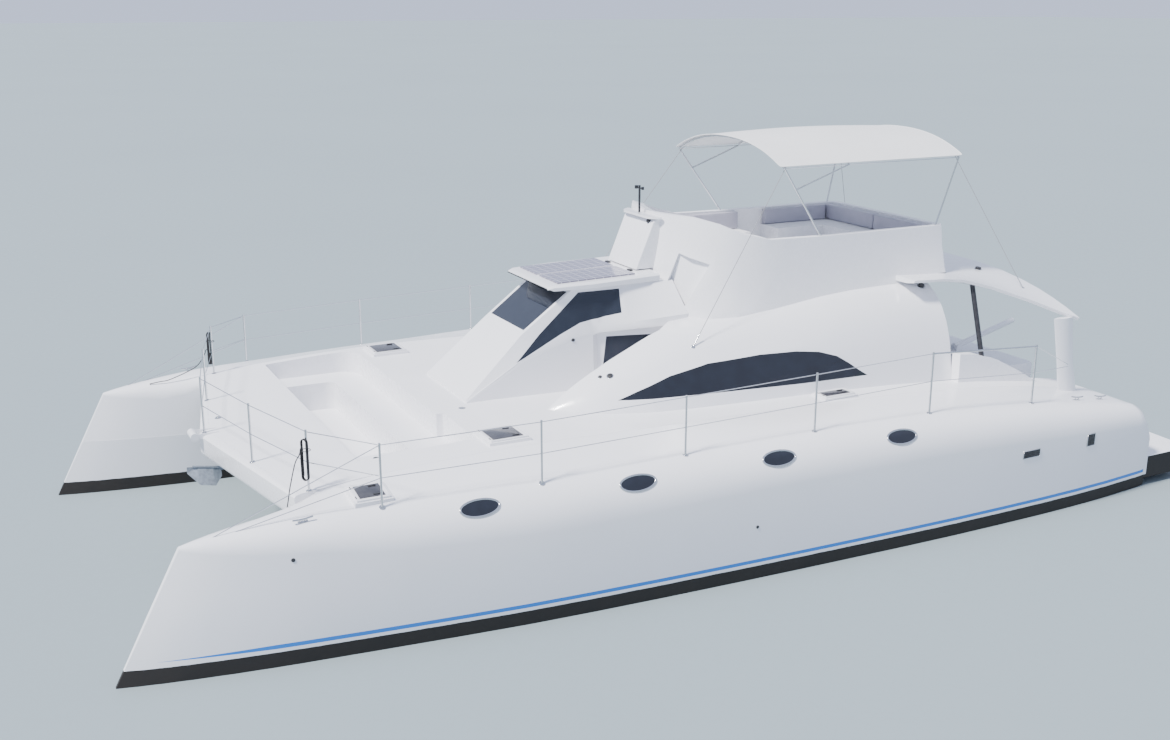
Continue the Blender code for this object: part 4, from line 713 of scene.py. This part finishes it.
# ---- Small deck fittings: filler caps, mushroom vents and dark lamps, each bedded
# on the moulding that carries it, with a steel ring round its foot.
RING_SHARE, RING_HIGH = 1.35, 0.005
bright, dark = (STEEL, "stainless_steel"), (DARK_PLASTIC, "black_paint")
FITTINGS = (
    ("deck_filler", "bridge_deck", (0.926, -2.59, 1.761), (0, 0, 1), 0.035, 0.008, bright),
    ("well_filler", "bridge_deck", (1.418, -3.904, 1.45), (0, 0, 1), 0.028, 0.008, dark),
    ("bow_eye", "bridge_deck", (-0.474, -5.398, 1.626), (0, -0.07, 1), 0.032, 0.016, bright),
    ("roof_vent_fore", "coachroof", (1.609, -0.811, 2.136), (0.40, -0.36, 0.85), 0.035, 0.018, dark),
    ("roof_vent_aft", "coachroof", (1.544, -0.922, 2.12), (0.40, -0.36, 0.85), 0.022, 0.014, dark),
    ("pod_vent", "helm_pod", (0.727, -0.91, 2.421), (0.89, -0.13, 0.44), 0.022, 0.014, dark),
    ("steaming_lamp", "flybridge", (0.292, 0.472, 3.857), (0.0, -0.84, 0.54), 0.030, 0.035, dark),
    ("roof_lamp_fore", "coachroof", (1.587, 4.247, 2.829), (0.38, -0.01, 0.92), 0.045, 0.035, dark),
    ("roof_lamp_aft", "cockpit_roof", (1.242, 5.631, 2.891), (0.1, 0.06, 0.99), 0.045, 0.035, dark),
)
for name, carrier, point, normal, radius, height, (finish, slot) in FITTINGS:
    normal = Vector(normal).normalized()
    hit = skins[carrier].ray_cast(Vector(point) + normal * 0.08, -normal)[0] or Vector(point)
    ground = stand_on(hit - normal * LET_IN, normal, (0.3, 1, 0))
    cap = soft_disc(name + "_cap", radius, height, finish, ground)
    ring = soft_disc(name + "_ring", radius * RING_SHARE, RING_HIGH, STEEL, ground)
    on_boat(join(name, cap, ring))

# ---- Helm and saloon cushions: foam pads in grey-lilac marine vinyl, crowned between
# their edges and piped round both faces, set loose on and behind the seats.
VINYL = weathered("marine_vinyl", (0.40, 0.39, 0.46), (0.30, 0.29, 0.35), 0.35, 6.0,
                  0.42, 0.6, 520.0, 0.35)
set_shader(VINYL, {"Sheen Weight": 0.15})
CROWN, CROWN_SHARE = 0.012, 0.9
CUSHION_EDGE, CUSHION_CUTS = 0.028, 9
PIPING_R, PIPING_IN = 0.0045, CUSHION_EDGE * 0.30
CORNER_R, CORNER_STEPS = 0.03, 6
CUSHIONS = (
    ("fly_front_rest", "fly_front_backrest", (-1.24, 1.62, 3.3505), (-1.122, 2.87, 3.628)),
    ("fly_backrest_starboard", "fly_backrest", (-1.24, 3.36, 3.3805), (-1.132, 4.55, 3.628)),
    ("fly_backrest_aft_starboard", None, (-1.235, 4.575, 3.3805), (-0.004, 4.735, 3.628)),
    ("fly_backrest_aft_port", None, (0.004, 4.575, 3.3805), (1.235, 4.735, 3.628)),
    ("fly_backrest_port", None, (1.132, 3.21, 3.3805), (1.24, 4.55, 3.628)),
    ("helm_seat_pad", "helm_seat", (-0.025, -0.715, 2.1405), (0.465, -0.235, 2.27)),
    ("helm_seat_back", None, (-0.025, -0.225, 2.16), (0.465, -0.105, 2.715)),
    ("settee_pad_fore", "saloon_settee", (1.455, 1.51, 1.17), (2.065, 2.74, 1.328)),
    ("settee_pad_aft", None, (1.455, 2.76, 1.17), (2.065, 3.99, 1.328)),
)
for name, node, low, high in CUSHIONS:
    low, high = Vector(low), Vector(high)
    middle, half = (low + high) / 2, (high - low) / 2
    inner = half - Vector((CROWN, CROWN, CROWN)) * CROWN_SHARE
    bpy.ops.mesh.primitive_cube_add(size=2.0)
    pad = bpy.context.object
    bpy.ops.object.mode_set(mode="EDIT")
    bpy.ops.mesh.select_all(action="SELECT")
    bpy.ops.mesh.subdivide(number_cuts=CUSHION_CUTS)
    bpy.ops.object.mode_set(mode="OBJECT")
    pad.data.transform(Matrix.Diagonal((*inner, 1)))
    roll_edges(pad, CUSHION_EDGE, 4)

    def puffed(p):
        u = [max(-1.0, min(1.0, p[i] / inner[i])) for i in range(3)]
        bulge = [u[i] * CROWN * CROWN_SHARE * (1 - u[(i + 1) % 3] ** 2) * (1 - u[(i + 2) % 3] ** 2)
                 for i in range(3)]
        return middle + Vector([p[i] + bulge[i] for i in range(3)])

    for vert in pad.data.vertices:
        vert.co = puffed(vert.co)
    bpy.ops.object.shade_smooth()
    pad.data.materials.append(VINYL)
    thin = min(range(3), key=lambda i: half[i])
    a, b = (thin + 1) % 3, (thin + 2) % 3
    seams = []
    for face in (-1, 1):
        loop = []
        for corner, (side_a, side_b) in enumerate(((1, 1), (-1, 1), (-1, -1), (1, -1))):
            for n in range(CORNER_STEPS + 1):
                turn = math.pi / 2 * (corner + n / CORNER_STEPS)
                p = Vector((0, 0, 0))
                p[a] = side_a * (inner[a] - PIPING_IN - CORNER_R) + CORNER_R * math.cos(turn)
                p[b] = side_b * (inner[b] - PIPING_IN - CORNER_R) + CORNER_R * math.sin(turn)
                p[thin] = face * (inner[thin] - PIPING_IN)
                loop.append(puffed(p))
        seams.append(tube("piping", loop, PIPING_R, VINYL, closed=True, sides=2))
    pad = join(name, pad, *seams)
    on_boat(pad, body_of[node] if node else "boat")
    if node:
        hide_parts(node)
settee_base = soft_block("settee_base", (0.31, 1.245, 0.134), DECK_WHITE, 0.02,
                         Matrix.Translation((1.76, 2.75, 0.901)))
on_boat(settee_base)

# ---- Saloon steps: oiled hardwood with a straight grain, screwed together and to
# the cabin's floor.
FIBRE_COLOUR = (0.20, 0.11, 0.05, 1)
WOOD = weathered("oiled_wood", (0.40, 0.25, 0.13), (0.26, 0.15, 0.07), 0.6, 4.0,
                 0.35, 0.55, 80.0, 0.1)
tree, shader, weather = workings(WOOD)
stretch = put(tree, "Mapping", {"Vector": own_place(tree), "Scale": (3.0, 60.0, 60.0)})
fibre = put(tree, "TexNoise", {"Vector": stretch.outputs[0], "Scale": 1.0, "Detail": 5.0})
tree.links.new(blend(tree, fibre.outputs[0], weather.outputs["Colour"], FIBRE_COLOUR),
               shader.inputs["Base Color"])
smooth_shell("saloon_steps", WOOD)

# ---- Flybridge cover: one sheet of white acrylic canvas stretched over three steel
# bows, with a turned hem all round.
THREADS = 180.0
CANVAS = weathered("white_canvas", (0.80, 0.80, 0.80), (0.66, 0.66, 0.66), 0.3, 1.3,
                   0.75, 0.9, 700.0, 0.2)
set_shader(CANVAS, {"Sheen Weight": 0.2})
tree = CANVAS.node_tree
place = own_place(tree)
warp = put(tree, "TexWave", {"Vector": place, "Scale": THREADS}, bands_direction="X")
weft = put(tree, "TexWave", {"Vector": place, "Scale": THREADS}, bands_direction="Y")
add_relief(CANVAS, maths(tree, "ADD", warp.outputs[1], weft.outputs[1]), 0.25, 0.001)
CLOTH_THICK, CLOTH_LOWER = 0.002, 0.004
CLOTH_WELD, CLOTH_UPWARD, CLOTH_ANGLE = 0.0001, 0.25, 50.0
HEM_R = 0.006
bm = bmesh.new()
bm.from_mesh(nodes["bimini_canvas"].data)
bmesh.ops.remove_doubles(bm, verts=bm.verts, dist=CLOTH_WELD)
bm.normal_update()
bmesh.ops.delete(bm, geom=[f for f in bm.faces if f.normal.z < CLOTH_UPWARD], context="FACES")
bmesh.ops.join_triangles(bm, faces=bm.faces, angle_face_threshold=0.6, angle_shape_threshold=0.9)
bmesh.ops.translate(bm, verts=bm.verts, vec=(0, 0, -CLOTH_LOWER))
bmesh.ops.delete(bm, geom=[v for v in bm.verts if not v.link_faces], context="VERTS")
cover = piece_from(bm, "cover_sheet", CANVAS)
fine = cover.modifiers.new("fine", "SUBSURF")
fine.levels = fine.render_levels = 2
bpy.ops.object.modifier_apply(modifier=fine.name)
uses = {}
for face in cover.data.polygons:
    for key in face.edge_keys:
        uses[key] = uses.get(key, 0) + 1
beside = {}
for (a, b), count in uses.items():
    if count == 1:
        beside.setdefault(a, []).append(b)
        beside.setdefault(b, []).append(a)
first = min(beside)
walk, onward = [first], beside[first][0]
while onward != first:
    walk.append(onward)
    onward = next(v for v in beside[onward] if v != walk[-2])
hem = tube("cover_hem", [cover.data.vertices[v].co.copy() for v in walk], HEM_R, CANVAS, closed=True)
thick = cover.modifiers.new("thick", "SOLIDIFY")
thick.thickness, thick.offset = CLOTH_THICK, 0.0
pick(cover)
bpy.ops.object.modifier_apply(modifier=thick.name)
shade(CLOTH_ANGLE)
on_boat(cover)
on_boat(hem)
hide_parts("bimini_canvas")
low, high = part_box("bimini_canvas")

# ---- Stays of the cover: grey webbing straps from the fore and aft bows down to steel
# turnbuckles, whose plates are screwed to the roofs.
WEBBING = weathered("grey_webbing", (0.30, 0.30, 0.32), (0.18, 0.18, 0.19), 0.5, 30.0,
                    0.6, 0.8, 800.0, 0.4)
STRAP_R, STRAP_FROM = 0.0045, 0.10
SCREW_R, SCREW_POINTS = 0.009, (0.012, 0.03, 0.035, 0.16, 0.165, 0.19)
PLATE_R, PLATE_HIGH = 0.028, 0.010
STAYS = (("fore", (1.352, 1.99, 4.66), "coachroof", (1.718, 0.359)),
         ("aft", (1.352, 4.89, 4.66), "cockpit_roof", (2.05, 5.75)))
for name, top, carrier, (x, y) in STAYS:
    hit, normal = below(carrier, x, y, ABOVE_FLYBRIDGE)
    top = Vector(top)
    line = (top - hit).normalized()
    strap = tube("strap", [hit + line * STRAP_FROM, top], STRAP_R, WEBBING)
    screw = tube("screw", [hit + line * far for far in SCREW_POINTS], SCREW_R, STEEL)
    plate = soft_disc("plate", PLATE_R, PLATE_HIGH, STEEL, stand_on(hit - normal * LET_IN, normal))
    both_sides(join("cover_stay_%s_port" % name, strap, screw, plate))
